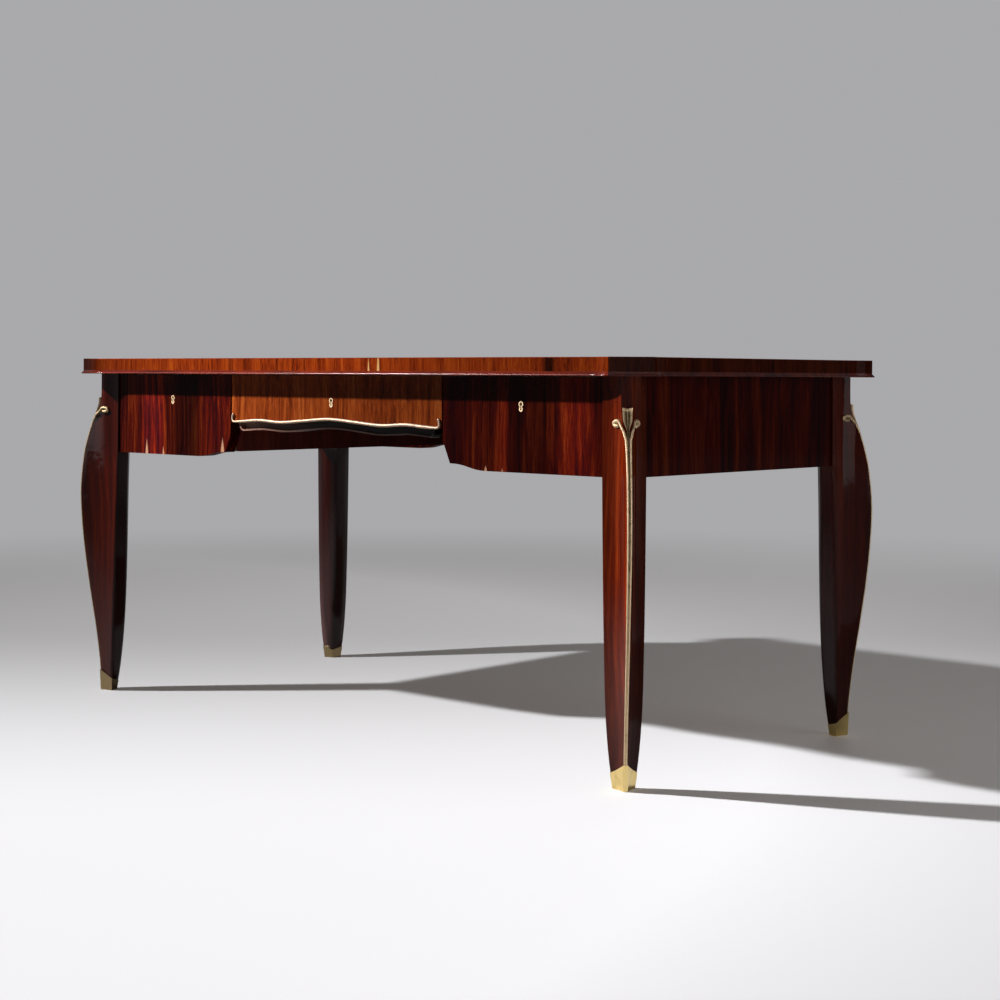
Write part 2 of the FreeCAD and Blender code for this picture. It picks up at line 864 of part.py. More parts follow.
# Drawer fronts
def edge_curve(half_width, drop, y):
    # The shaped lower edge: a middle crest, two troughs, two small crests and low ends
    place_shares = (-1.0, -0.86, -0.7, -0.48, -0.25, 0.0, 0.25, 0.48, 0.7, 0.86, 1.0)
    trough = end_fall
    crest = end_fall + crest_rise
    small = end_fall + small_crest_rise
    shoulder = end_fall + crest_rise / 2
    rises = (0, trough, small, trough, shoulder, crest, shoulder, trough, small, trough, 0)
    points = []
    for place, rise in zip(place_shares, rises):
        points.append(FreeCAD.Vector(place * half_width, y, edge_z + rise - drop))
    curve = Part.BSplineCurve()
    curve.interpolate(points)
    return curve


def centre_outline(half_width, top_z, drop, y):
    curve = edge_curve(half_width, drop, y)
    start, end = curve.StartPoint, curve.EndPoint
    right, left = FreeCAD.Vector(end.x, y, top_z), FreeCAD.Vector(start.x, y, top_z)
    edges = [curve.toShape(), Part.makeLine(end, right)]
    edges += [Part.makeLine(right, left), Part.makeLine(left, start)]
    return Part.Face(Part.Wire(edges))


def edge_strip(half_width, low_drop, high_drop, y_low, y_high):
    # A strip along the shaped edge, cut off square at half_width on each side
    lower = edge_curve(centre_half, low_drop, y_low)
    upper = edge_curve(centre_half, high_drop, y_low)
    edges = [
        lower.toShape(),
        Part.makeLine(lower.EndPoint, upper.EndPoint),
        upper.toShape(),
        Part.makeLine(upper.StartPoint, lower.StartPoint),
    ]
    strip = Part.Face(Part.Wire(edges)).extrude(FreeCAD.Vector(0, y_high - y_low, 0))
    return strip.common(block(-half_width, half_width, y_low, y_high, 0, desk_height))


def plate_shape(x, head_radius, foot_radius, waist, y_low, y_high):
    head_z, foot_z = key_z + plate_centres / 2, key_z - plate_centres / 2
    head = round_bar(x, head_z, head_radius, y_low, y_high)
    foot = round_bar(x, foot_z, foot_radius, y_low, y_high)
    neck = block(x - waist, x + waist, y_low, y_high, foot_z, head_z)
    return head.fuse([foot, neck])


def key_slot(x, y_low, y_high):
    return plate_shape(x, key_head_radius, key_slot_radius, key_slot_half_width, y_low, y_high)


def key_plate(x):
    y_low, y_high = -face_y - plate_stand, -face_y + plate_depth
    plate = plate_shape(x, plate_head_radius, plate_foot_radius, plate_waist, y_low, y_high)
    return plate.cut(key_slot(x, y_low - overrun, y_high + overrun)).removeSplitter()


def key_seat(x):
    fit = plate_fit
    seat = plate_shape(
        x,
        plate_head_radius + fit,
        plate_foot_radius + fit,
        plate_waist + fit,
        -face_y - overrun,
        -face_y + plate_depth,
    )
    return seat.fuse(key_slot(x, -face_y - overrun, -front_back_y + overrun))


def rail_rebate(half_low, half_high):
    low_z = rail_bottom - rail_gap
    return block(half_low, half_high, -face_y + front_lip, -front_back_y + overrun, low_z, carcass_top)


def side_span():
    # The outer faces of the right drawer box
    return knee_outer_x + drawer_side_gap, inner_post_x - drawer_side_gap


def box_walls(low_x, high_x, low_z):
    y_front, y_back = -front_back_y - drawer_housing, -front_back_y + drawer_length
    left = block(low_x, low_x + drawer_side, y_front, y_back, low_z, side_top)
    right = block(high_x - drawer_side, high_x, y_front, y_back, low_z, side_top)
    return Part.makeCompound([left, right]).cut(box_bottom_board(low_x, high_x, low_z))


def box_bottom_board(low_x, high_x, low_z):
    inset = drawer_side - drawer_groove
    y_front, y_back = -front_back_y - drawer_groove, -front_back_y + drawer_length
    level = low_z + drawer_bottom_lift
    return block(low_x + inset, high_x - inset, y_front, y_back, level, level + drawer_bottom)


def box_back(low_x, high_x, low_z):
    y_back = -front_back_y + drawer_length
    level = low_z + drawer_bottom_lift + drawer_bottom
    return block(low_x + drawer_side, high_x - drawer_side, y_back - drawer_side, y_back, level, side_top)


def side_front():
    outline = side_outline(inner_post_x - front_gap, front_top, -face_y)
    board = outline.extrude(FreeCAD.Vector(0, front_thickness, 0))
    board = board.cut(rail_rebate(0, post_x)).cut(key_seat(key_offset))
    low_x, high_x = side_span()
    board = board.cut(box_walls(low_x, high_x, side_bottom))
    return board.cut(box_bottom_board(low_x, high_x, side_bottom)).removeSplitter()


def centre_span():
    return -centre_half + centre_box_inset, centre_half - centre_box_inset


def centre_front():
    outline = centre_outline(centre_half, front_top, 0, -face_y)
    board = outline.extrude(FreeCAD.Vector(0, front_thickness, 0))
    board = board.cut(rail_rebate(-post_x, post_x)).cut(key_seat(0))
    low_x, high_x = centre_span()
    board = board.cut(box_walls(low_x, high_x, centre_side_bottom))
    return board.cut(box_bottom_board(low_x, high_x, centre_side_bottom)).removeSplitter()


def boat_shape(half_width, shrink):
    # A long slab with round ends, wide enough in Z to hold the whole grip between the ends
    middle = half_width - grip_round
    y_low, y_high = -face_y - overrun, -front_back_y + overrun
    slab = block(-middle, middle, y_low, y_high, 0, desk_height)
    z = edge_z - grip_height + grip_round + end_fall / 2
    rounds = [round_bar(side * middle, z, grip_round - shrink, y_low, y_high) for side in (-1, 1)]
    return slab.fuse(rounds)


def grip_rail():
    half = centre_half - grip_end_inset
    y_low, y_high = -face_y + grip_inset, -front_back_y
    body = edge_strip(half, grip_height, seat_gap, y_low, y_high).common(boat_shape(half, 0))
    hollow = edge_strip(half, grip_height - grip_lip, grip_lip, y_low - overrun, y_low + grip_hollow)
    return body.cut(hollow.common(boat_shape(half, grip_lip))).removeSplitter()


def pull_hook():
    y_low, y_high = -face_y - hook_depth, -face_y
    x = centre_half - hook_inset
    z = edge_z - pull_half_height + hook_radius
    ring = round_bar(x, z, hook_radius, y_low, y_high).cut(round_bar(x, z, hook_eye, y_low, y_high))
    bend = ring.common(block(x, x + hook_radius, y_low, y_high, z - hook_radius, z))
    shank = block(x + hook_eye, x + hook_radius, y_low, y_high, z, z + hook_rise)
    middle_x = x + (hook_radius + hook_eye) / 2
    ball = round_bar(middle_x, z + hook_rise, hook_ball, y_low, y_high)
    return bend.fuse([shank, ball])


def pull_end_taper():
    # Takes the bar back to the depth of the hook at its right end
    x = centre_half - hook_inset
    corners = [(x - pull_end_run, pull_depth), (x, hook_depth), (x, pull_depth)]
    points = [FreeCAD.Vector(a, -face_y - b, 0) for a, b in corners]
    return Part.Face(Part.makePolygon(points + points[:1])).extrude(UP * desk_height)


def pull():
    half = centre_half - hook_inset
    bar = edge_strip(half, pull_half_height, -pull_half_height, -face_y - pull_depth, -face_y)
    bar = bar.cut([pull_end_taper(), mirror_x(pull_end_taper())])
    hook = pull_hook()
    return bar.fuse([hook, mirror_x(hook)]).removeSplitter()


# Locks
def lock_case(x):
    half = case_width / 2
    case = block(x - half, x + half, -front_back_y, -case_back_y, case_bottom, case_top)
    channel_half = bolt_width / 2 + slide_gap
    front_y, back_y = bolt_front_y + slide_gap, bolt_front_y - bolt_thickness - slide_gap
    low_z = case_bottom + bolt_foot - seat_gap
    channel = block(x - channel_half, x + channel_half, -front_y, -back_y, low_z, case_top)
    bore = round_bar(x, key_z + plate_centres / 2, key_bore_radius, -front_back_y, -front_y)
    return case.cut(channel).cut(bore)


def lock_bolt(x):
    half = bolt_width / 2
    back_y = bolt_front_y - bolt_thickness
    low_z, high_z = case_bottom + bolt_foot, case_top + bolt_stand
    return block(x - half, x + half, -bolt_front_y, -back_y, low_z, high_z)


def drawer_nodes(name, front, low_x, high_x, low_z, x):
    return {
        name + "_front": front,
        name + "_sides": box_walls(low_x, high_x, low_z),
        name + "_back": box_back(low_x, high_x, low_z),
        name + "_bottom": box_bottom_board(low_x, high_x, low_z),
        name + "_key_plate": key_plate(x),
        name + "_lock_case": lock_case(x),
        name + "_lock_bolt": lock_bolt(x),
    }


def mirrored(nodes, old, new):
    return {key.replace(old, new): mirror_x(shape) for key, shape in nodes.items()}


def side_nodes():
    low_x, high_x = side_span()
    right = drawer_nodes("right_drawer", side_front(), low_x, high_x, side_bottom, key_offset)
    right["right_end_panel"] = end_panel()
    right["right_knee_panel"] = knee_panel()
    right["right_rear_panel"] = rear_side_panel()
    right["right_floor_board"] = floor_board()
    right["right_runners"] = side_runners()
    return right


def all_nodes():
    nodes = {
        "top_core": top_core(),
        "top_lipping": top_lipping(),
        "top_border": top_border(),
        "top_field": field_block(),
        "under_board": under_board(),
        "front_rail": front_rail(),
        "rear_rail": rear_rail(),
        "rear_centre_panel": rear_centre_panel(),
        "centre_runners": centre_runners(),
        "kickers": kickers(),
        "drawer_stops": drawer_stops(),
        "glue_blocks": glue_blocks(),
        "top_screws": top_screws(),
        "centre_drawer_grip": grip_rail(),
        "centre_drawer_pull": pull(),
    }
    blade, mount, sabot = leg_local(), mount_local(), sabot_local()
    for corner in CORNERS:
        nodes[corner + "_leg"] = leg(blade, corner)
        nodes[corner + "_mount"] = placed(mount, corner)
        nodes[corner + "_sabot"] = placed(sabot, corner)
    low_x, high_x = centre_span()
    nodes.update(drawer_nodes("centre_drawer", centre_front(), low_x, high_x, centre_side_bottom, 0))
    right = side_nodes()
    nodes.update(right)
    nodes.update(mirrored(right, "right_", "left_"))
    return nodes


def main():
    os.makedirs("parts", exist_ok=True)
    for name, shape in all_nodes().items():
        shape.exportStep("parts/" + name + ".step")
        volume = sum(solid.Volume for solid in shape.Solids)
        print(name, "solids", len(shape.Solids), "volume", round(volume), "valid", shape.isValid())


main()
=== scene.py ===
# %% [markdown]
# # A writing desk in striped rosewood with gilt bronze mounts
#
# The desk's solid parts come packed, as a fixed frame. This lesson dresses them: it gives
# every part its finish, and models the four leg mounts and the pull again as smooth
# surfaces, because their relief is finer than that of the plain solids. The wood, the
# sabots on the feet, the keyhole plates and the locks keep the shape they come with.

# %% Load the frame
import bmesh
import bpy
import math
import numpy as np
from mathutils import Matrix, Vector


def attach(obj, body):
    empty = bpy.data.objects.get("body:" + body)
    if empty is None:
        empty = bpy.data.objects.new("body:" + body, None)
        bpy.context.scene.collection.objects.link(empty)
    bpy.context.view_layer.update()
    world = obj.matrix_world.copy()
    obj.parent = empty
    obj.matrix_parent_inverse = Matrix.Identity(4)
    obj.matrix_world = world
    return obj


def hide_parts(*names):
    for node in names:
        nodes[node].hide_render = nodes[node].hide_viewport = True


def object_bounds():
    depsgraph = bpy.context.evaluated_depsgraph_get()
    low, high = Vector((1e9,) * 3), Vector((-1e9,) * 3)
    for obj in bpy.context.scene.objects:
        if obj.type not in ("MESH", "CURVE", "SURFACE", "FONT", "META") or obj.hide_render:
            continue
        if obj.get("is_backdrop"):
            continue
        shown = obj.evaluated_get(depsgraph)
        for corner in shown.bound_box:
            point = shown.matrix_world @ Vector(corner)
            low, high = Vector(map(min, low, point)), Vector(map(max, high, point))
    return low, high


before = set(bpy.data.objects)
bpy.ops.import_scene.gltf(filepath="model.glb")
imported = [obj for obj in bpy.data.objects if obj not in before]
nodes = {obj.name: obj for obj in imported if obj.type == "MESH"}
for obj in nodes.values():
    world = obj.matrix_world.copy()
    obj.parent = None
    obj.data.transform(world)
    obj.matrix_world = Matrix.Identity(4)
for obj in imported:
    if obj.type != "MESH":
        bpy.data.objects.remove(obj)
cad_box = [list(corner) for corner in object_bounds()]
scene = bpy.context.scene

# %% [markdown]
# ## Camera
#
# The photograph was taken almost level with the top, from the front right corner. A long
# lens keeps the verticals upright, and the view is moved down with a lens shift, as a view
# camera does it, instead of tilting the camera.

# %% Camera
EYE = Vector((2.80576, -2.92237, 0.72691))
YAW = math.radians(42.38)
ROLL = math.radians(0.29)
FOCAL_MM, SENSOR_MM = 67.257, 36
SHIFT_Y = -0.12486

forward = Vector((-math.sin(YAW), math.cos(YAW), 0))
level = Vector((math.cos(YAW), math.sin(YAW), 0))
up = Vector((0, 0, 1))
across = level * math.cos(ROLL) + up * math.sin(ROLL)
upward = up * math.cos(ROLL) - level * math.sin(ROLL)

lens = bpy.data.cameras.new("view")
lens.sensor_width = SENSOR_MM
lens.lens = FOCAL_MM
lens.shift_y = SHIFT_Y
camera = bpy.data.objects.new("view", lens)
scene.collection.objects.link(camera)
turn = Matrix((across, upward, -forward)).transposed().to_4x4()
camera.matrix_world = Matrix.Translation(EYE) @ turn
scene.camera = camera
scene.view_settings.view_transform = "Standard"
print("lens", lens.lens, "mm, eye height", round(EYE.z, 3), "m")

# %% [markdown]
# ## Small tools for materials
#
# A procedural material is a tree of nodes. A few short functions keep the lesson readable:
# they add a node and fill or link its inputs, do one step of arithmetic, run a value
# smoothly between two others, map a value to colours, mix two colours and make noise.


# %% Tools for node trees
def put(tree, kind, props=None, **inputs):
    """Adds a node. Inputs go by name, or by number as i0, i1. One that is another node's
    output is linked, any other is a value."""
    node = tree.nodes.new(kind)
    for key, value in (props or {}).items():
        setattr(node, key, value)
    for key, value in inputs.items():
        by_number = key[0] == "i" and key[1:].isdigit()
        socket = node.inputs[int(key[1:]) if by_number else key.replace("_", " ")]
        if isinstance(value, bpy.types.NodeSocket):
            tree.links.new(value, socket)
        else:
            socket.default_value = value
    return node


def sums(tree, operation, a, b=0.0, clamp=False):
    """One arithmetic step on two values or outputs."""
    return put(tree, "ShaderNodeMath", {"operation": operation, "use_clamp": clamp}, i0=a, i1=b).outputs[0]


def ease(tree, value, low, high, out_low=0.0, out_high=1.0):
    """Runs smoothly from out_low to out_high while value goes from low to high."""
    smooth = {"interpolation_type": "SMOOTHSTEP"}
    limits = {"i1": low, "i2": high, "i3": out_low, "i4": out_high}
    return put(tree, "ShaderNodeMapRange", smooth, i0=value, **limits).outputs[0]


def span(tree, value, low, high):
    """Runs evenly from 0 to 1 while value goes from low to high, and stays there."""
    return put(tree, "ShaderNodeMapRange", i0=value, i1=low, i2=high, i3=0.0, i4=1.0).outputs[0]


def vectors(tree, operation, a, b=(0.0, 0.0, 0.0), output=0):
    """One step on two vectors or outputs."""
    return put(tree, "ShaderNodeVectorMath", {"operation": operation}, i0=a, i1=b).outputs[output]


def position(tree):
    """The place on the desk, in metres from the middle of the floor under it."""
    return put(tree, "ShaderNodeTexCoord").outputs["Object"]


def split(tree, vector):
    """The three parts x, y, z of a vector."""
    return put(tree, "ShaderNodeSeparateXYZ", i0=vector).outputs


def ramp(tree, value, stops):
    """Maps a value from 0 to 1 to the colours of the stops, each (place, colour)."""
    node = put(tree, "ShaderNodeValToRGB", i0=value)
    band = node.color_ramp
    while len(band.elements) < len(stops):
        band.elements.new(1.0)
    for element, (place, colour) in zip(band.elements, stops):
        element.position = place
        element.color = (*colour, 1.0)
    return node.outputs[0]


def mix(tree, factor, a, b, kind="MIX"):
    """Mixes two colours by a factor: a where it is 0, b where it is 1."""
    node = put(tree, "ShaderNodeMix", {"data_type": "RGBA", "blend_type": kind}, i0=factor)
    for index, value in ((6, a), (7, b)):
        if isinstance(value, bpy.types.NodeSocket):
            tree.links.new(value, node.inputs[index])
        else:
            node.inputs[index].default_value = (*value, 1.0)
    return node.outputs[2]


def new_material(name):
    """A new material, its tree of nodes and its shader."""
    material = bpy.data.materials.new(name)
    material.use_nodes = True
    return material, material.node_tree, material.node_tree.nodes["Principled BSDF"]


def noise(tree, coordinates, scale, detail=2.0, roughness=0.5):
    """Soft noise, as a value from 0 to 1 with most of it near the middle."""
    settings = {"Scale": scale, "Detail": detail, "Roughness": roughness}
    return put(tree, "ShaderNodeTexNoise", Vector=coordinates, **settings).outputs["Fac"]


print("material tools ready")

# %% [markdown]
# ## Veneer
#
# The veneer is a rosewood cut so that its growth rings show as upright stripes: broad bands
# a few centimetres wide, narrower stripes in them, and fibres and pores finer than a
# millimetre. All of these run along one direction, so each is the same kind of noise,
# squeezed along the grain. A slow bend in the coordinates keeps the lines from looking
# ruled.

# %% Grain
ALONG = {"X": (0.035, 1.0, 1.0), "Y": (1.0, 0.035, 1.0), "Z": (1.0, 1.0, 0.035)}
# Noise scale and detail of the bands, the stripes and the fibres.
LAYERS = ((16, 2.0), (85, 4.0), (480, 3.0))
# How much of the stripes each of the three layers makes.
BROAD = (0.40, 0.42, 0.18)
FINE = (0.24, 0.50, 0.26)
# The sum of the layers seldom leaves this half width round its middle.
HALF_SPREAD = 0.16


def grain_coordinates(tree, grain, start):
    """The place, moved to a start of its own, bent a little, squeezed along the grain."""
    moved = put(tree, "ShaderNodeMapping", Vector=position(tree), Location=start).outputs[0]
    slow = put(tree, "ShaderNodeTexNoise", Vector=moved, Scale=2.6, Detail=1.0).outputs["Color"]
    bend = vectors(tree, "SUBTRACT", slow, (0.5, 0.5, 0.5))
    bend = vectors(tree, "MULTIPLY", bend, (0.05, 0.05, 0.05))
    return vectors(tree, "MULTIPLY", vectors(tree, "ADD", moved, bend), ALONG[grain])


def striped_value(tree, coordinates, width=1.0, weights=BROAD, contrast=1.0):
    """Weighted sum of bands, stripes and fibres, spread out so that it fills 0 to 1."""
    total = 0.0
    for (scale, detail), weight in zip(LAYERS, weights):
        layer = noise(tree, coordinates, scale / width, detail, 0.6)
        total = sums(tree, "ADD", sums(tree, "MULTIPLY", layer, weight), total)
    half = HALF_SPREAD / contrast
    return span(tree, total, 0.5 - half, 0.5 + half)


print("grain in three layers", LAYERS)

# %% [markdown]
# ## Lacquer
#
# The wood is polished with a clear lacquer. A clear coat over a satin body gives the deep
# colour and the sharp reflections. One strong gloss on the body itself would wash the dark
# stripes out with grey.


# %% Lacquer
def lacquer(shader, coat=0.15, gloss=0.05):
    """A clear, hard coat over a body that is only satin and has no shine of its own."""
    shader.inputs["Roughness"].default_value = 0.42
    shader.inputs["Specular IOR Level"].default_value = 0.0
    shader.inputs["Coat Weight"].default_value = coat
    shader.inputs["Coat Roughness"].default_value = gloss
    shader.inputs["Coat IOR"].default_value = 1.3


print("lacquer ready")

# %% [markdown]
# ## Leaves and flames
#
# A front is laid with several leaves of veneer, and each has its own strength of colour.
# So the stripes are multiplied by a strength that changes from place to place along the
# front. Some of these strengths are painted light and shade instead, where a shadow falls or
# where the light falls off. At the lower edge a few pale flames of sapwood run up between
# the stripes.


# %% Leaves and flames
def leaves_and_painted_light(tree, colour, along, zones):
    """Multiplies a colour by a strength that runs evenly from zone to zone along one axis.
    zones are (place in metres, strength)."""
    low, high = zones[0][0], zones[-1][0]
    stops = [((spot - low) / (high - low), (amount,) * 3) for spot, amount in zones]
    return mix(tree, 1.0, colour, ramp(tree, span(tree, along, low, high), stops), "MULTIPLY")


def flame(tree, place, x, z, half, height):
    """How much of a flame lies at a place: all of it within a half width that shrinks from
    height z up to its tip, and none at the back of the desk."""
    near = sums(tree, "ABSOLUTE", sums(tree, "SUBTRACT", place[0], x))
    left = ease(tree, place[2], z, z + height, 1.0, 0.0)
    beyond = sums(tree, "SUBTRACT", near, sums(tree, "MULTIPLY", left, half))
    amount = ease(tree, beyond, -half * 0.5, half * 0.25, 1.0, 0.0)
    amount = sums(tree, "MULTIPLY", amount, ease(tree, left, 0.0, 0.3))
    return sums(tree, "MULTIPLY", amount, sums(tree, "LESS_THAN", place[1], 0.0))


print("leaves and flames ready")

# %% [markdown]
# ## Polished legs
#
# A leg's colour runs down to a grey brown at its foot, a painted reflection of the floor and
# its shadow, and from the side arrises out to the edge that carries the mount it is multiplied
# by a painted light and shade. The arrises of the real legs are rounded by years of polish.
# The solid legs have sharp ones, so a Bevel node bends the normal near each edge instead.
# Above, where the leg joins the box, the faces are flat.

# %% Polished legs
# A painted reflection of the floor and its shadow, mixed into each leg towards its foot.
FOOT_REFLECTION = (0.055, 0.030, 0.028)
# |x| + |y| in metres at the side arrises of every leg.
SIDE_ARRIS = 1.075
# |x| + |y| at the edge that carries the mount, where it stands out most.
MOUNTED_EDGE = 1.19


def leg_colour(tree, colour, place, foot, side_strength, edge_strength, reach):
    """Mixes in the painted reflection towards the foot, then multiplies by a painted light and
    shade that runs with |x| + |y| from the side arrises to the reach."""
    down = ease(tree, place[2], 0.40, 0.06, 0.0, 0.55)
    colour = mix(tree, down, colour, [part * foot for part in FOOT_REFLECTION])
    outward = sums(tree, "ADD", sums(tree, "ABSOLUTE", place[0]), sums(tree, "ABSOLUTE", place[1]))
    # Painted light and shade: from the side strength at the side arrises to the edge strength at the
    # reach.
    shade = ease(tree, outward, SIDE_ARRIS, reach, side_strength, edge_strength)
    shade = put(tree, "ShaderNodeCombineXYZ", i0=shade, i1=shade, i2=shade).outputs[0]
    return mix(tree, 1.0, colour, shade, "MULTIPLY")


def rounded_arrises(tree, normal, place, radius):
    """The normal of the free part of the leg, as if its edges had this radius."""
    bent = put(tree, "ShaderNodeBevel", {"samples": 6}, Radius=radius).outputs[0]
    free = ease(tree, place[2], 0.50, 0.56, 1.0, 0.0)
    return put(tree, "ShaderNodeMix", {"data_type": "VECTOR"}, i0=free, i4=normal, i5=bent).outputs[1]


print("a leg stands out", round(MOUNTED_EDGE - SIDE_ARRIS, 3), "m between these edges")

# %% [markdown]
# ## One function for all veneers
#
# All the striped woods differ only in their colours, the run of their grain and a few
# amounts, so one function makes them: stripes, leaves, pores, flames, legs, lacquer.

# %% Veneer
PORES = 1500
PORE_COLOUR = (0.012, 0.003, 0.002)
SAPWOOD = (0.50, 0.26, 0.15)


def veneer(name, colours, grain="Z", start=(0, 0, 0), width=1.0, weights=BROAD, contrast=1.0, strength=1.0,
           zones=None, axis=0, flames=(), flame_colour=SAPWOOD, leg=None, coat=0.15, gloss=0.05):
    """A striped wood. start moves the stripes, width widens them, strength multiplies the
    colours. zones make leaves, and painted light and shade, along axis 0, x, or 1, y.
    flames are (x, z, half width, height). leg is (foot, side strength, edge strength, radius
    of the arrises, reach), for a painted reflection at the foot and painted light across the leg."""
    material, tree, shader = new_material(name)
    coordinates = grain_coordinates(tree, grain, start)
    place = split(tree, position(tree))
    stripes = striped_value(tree, coordinates, width, weights, contrast)
    colour = ramp(tree, stripes, [(spot, [part * strength for part in shade]) for spot, shade in colours])
    if zones:
        colour = leaves_and_painted_light(tree, colour, place[axis], zones)
    pores = noise(tree, coordinates, PORES, 1.0)
    colour = mix(tree, ease(tree, pores, 0.60, 0.70, 0.0, 0.45), colour, PORE_COLOUR)
    for one in flames:
        colour = mix(tree, sums(tree, "MULTIPLY", flame(tree, place, *one), 0.75), colour, flame_colour)
    normal = put(tree, "ShaderNodeNewGeometry").outputs["Normal"]
    if leg:
        foot, side_strength, edge_strength, radius, reach = leg
        colour = leg_colour(tree, colour, place, foot, side_strength, edge_strength, reach)
        normal = rounded_arrises(tree, normal, place, radius)
        tree.links.new(normal, shader.inputs["Coat Normal"])
    tree.links.new(colour, shader.inputs["Base Color"])
    bump = put(tree, "ShaderNodeBump", Strength=0.05, Distance=0.0004, Height=pores, Normal=normal)
    tree.links.new(bump.outputs[0], shader.inputs["Normal"])
    lacquer(shader, coat, gloss)
    return material


print("veneer ready, pores at scale", PORES)

# %% [markdown]
# ## Colours of the woods
#
# Each wood is a run of colours from its darkest stripe to its lightest. The middle drawer is
# orange, the side drawers and ends purple red, the edge of the top between the two.

# %% Colours of the woods
ORANGE = ((0.0, (0.068, 0.00924, 0.0021)), (0.35, (0.216, 0.033, 0.00504)),
          (0.65, (0.368, 0.0693, 0.0109)), (1.0, (0.496, 0.132, 0.0231)))
RED = ((0.0, (0.0171, 0.00156, 0.0028)), (0.3, (0.0475, 0.00312, 0.0036)),
       (0.55, (0.119, 0.00676, 0.00224)), (0.8, (0.228, 0.0245, 0.00400)), (1.0, (0.342, 0.0540, 0.0085)))
EDGE = ((0.0, (0.0279, 0.0028, 0.00072)), (0.22, (0.124, 0.012, 0.00126)),
        (0.55, (0.236, 0.028, 0.00252)), (1.0, (0.341, 0.06, 0.00576)))
LEG = ((0.0, (0.0324, 0.0024, 0.00088)), (0.4, (0.0936, 0.0064, 0.00132)),
       (0.7, (0.173, 0.0144, 0.0022)), (1.0, (0.259, 0.028, 0.00396)))
WARM_LEG = ((0.0, (0.036, 0.0034, 0.0009)), (0.4, (0.098, 0.0082, 0.0012)),
            (0.7, (0.176, 0.020, 0.0026)), (1.0, (0.27, 0.042, 0.005)))
KNEE = ((0.0, (0.045, 0.010, 0.008)), (1.0, (0.160, 0.036, 0.026)))
BROWN = ((0.0, (0.035, 0.018, 0.014)), (1.0, (0.11, 0.060, 0.046)))
print("lightest orange and red", ORANGE[-1][1], RED[-1][1])

# %% [markdown]
# ## Drawer fronts, panels and grip
#
# The leaves of the two side drawers differ a good deal: one deep purple band beside each
# keyhole, brighter leaves towards the ends. The left end of the left front is painted dark
# with the shadow of the post beside it. The middle front is even and gets a little darker to
# the right. The grip under the pull is of plain brown wood with a duller polish, painted light
# at its left end and painted shade towards the right. The ends are painted darker, and the
# knee panels darker towards the back, as shade.

# %% Veneers of the fronts and panels
# The first two strengths paint the shadow of the left post on the left front; the rest are leaves.
LEFT_ZONES = ((-0.72, 0.18), (-0.635, 0.30), (-0.615, 0.88), (-0.56, 0.98), (-0.54, 0.26), (-0.50, 0.11),
              (-0.44, 0.08), (-0.40, 0.40), (-0.37, 0.46), (-0.32, 0.42))
CENTRE_ZONES = ((-0.32, 1.0), (-0.27, 0.85), (-0.12, 0.78), (0.0, 0.66), (0.14, 0.62), (0.32, 0.52))
RIGHT_ZONES = ((0.31, 0.26), (0.34, 0.22), (0.40, 0.24), (0.44, 0.20), (0.475, 0.55), (0.49, 0.14),
               (0.57, 0.16), (0.60, 0.32), (0.625, 0.70), (0.66, 0.82), (0.70, 0.36), (0.72, 0.25))
# Painted shade: the knee panels get darker towards the back, under the desk.
KNEE_ZONES = ((-0.36, 1.4), (0.0, 0.7), (0.36, 0.35))
# Painted light and shade on the grip: bright at its left end, darker towards the right in the shade of the
# pull; its strength of 1.9 lightens it in that shade.
GRIP_ZONES = ((-0.32, 2.0), (-0.26, 1.5), (-0.17, 0.60), (-0.06, 0.14), (0.32, 0.05))
LEFT_FLAMES = ((-0.610, 0.545, 0.005, 0.045), (-0.550, 0.545, 0.003, 0.025), (-0.344, 0.556, 0.006, 0.042))
RIGHT_FLAMES = ((0.428, 0.545, 0.004, 0.016), (0.47, 0.545, 0.002, 0.012))
left_front_veneer = veneer("left_front_veneer", RED, start=(3.1, 0, 0), weights=FINE, contrast=1.2,
                           strength=1.2, zones=LEFT_ZONES, flames=LEFT_FLAMES)
centre_front_veneer = veneer("centre_front_veneer", ORANGE, start=(0.4, 0, 0), width=0.6,
                             weights=(0.26, 0.40, 0.34), contrast=1.25, strength=0.8, zones=CENTRE_ZONES)
right_front_veneer = veneer("right_front_veneer", RED, start=(7.7, 0, 0), width=0.75, weights=FINE,
                            strength=1.2, zones=RIGHT_ZONES, flames=RIGHT_FLAMES)
# The ends are a darker copy of the red veneer, a painted shade fitted to the end that faces away from the
# lamp.
end_veneer = veneer("end_veneer", RED, start=(11.3, 0, 0), width=1.2, strength=0.62)
knee_veneer = veneer("knee_veneer", KNEE, start=(15.9, 0, 0), zones=KNEE_ZONES, axis=1, coat=0.03)
grip_wood = veneer("grip_wood", BROWN, grain="X", start=(1.9, 0, 0), strength=1.9, zones=GRIP_ZONES,
                   coat=0.5, gloss=0.3)
rear_veneer = veneer("rear_veneer", RED, start=(21.5, 0, 0))
moulding_wood = veneer("moulding_wood", LEG, grain="X", start=(8.3, 0, 0), coat=1.0, gloss=0.24)
print("veneers", len(bpy.data.materials))

# %% [markdown]
# ## Leg woods
#
# Each leg has its own polish and its own strength, and these strengths are painted light and
# shade: the two left legs and the far right one are darker copies of the leg wood, the far left
# one darkest on its inner faces and brighter on its outer ones, and the near leg is painted
# lighter towards the edge that carries its mount.

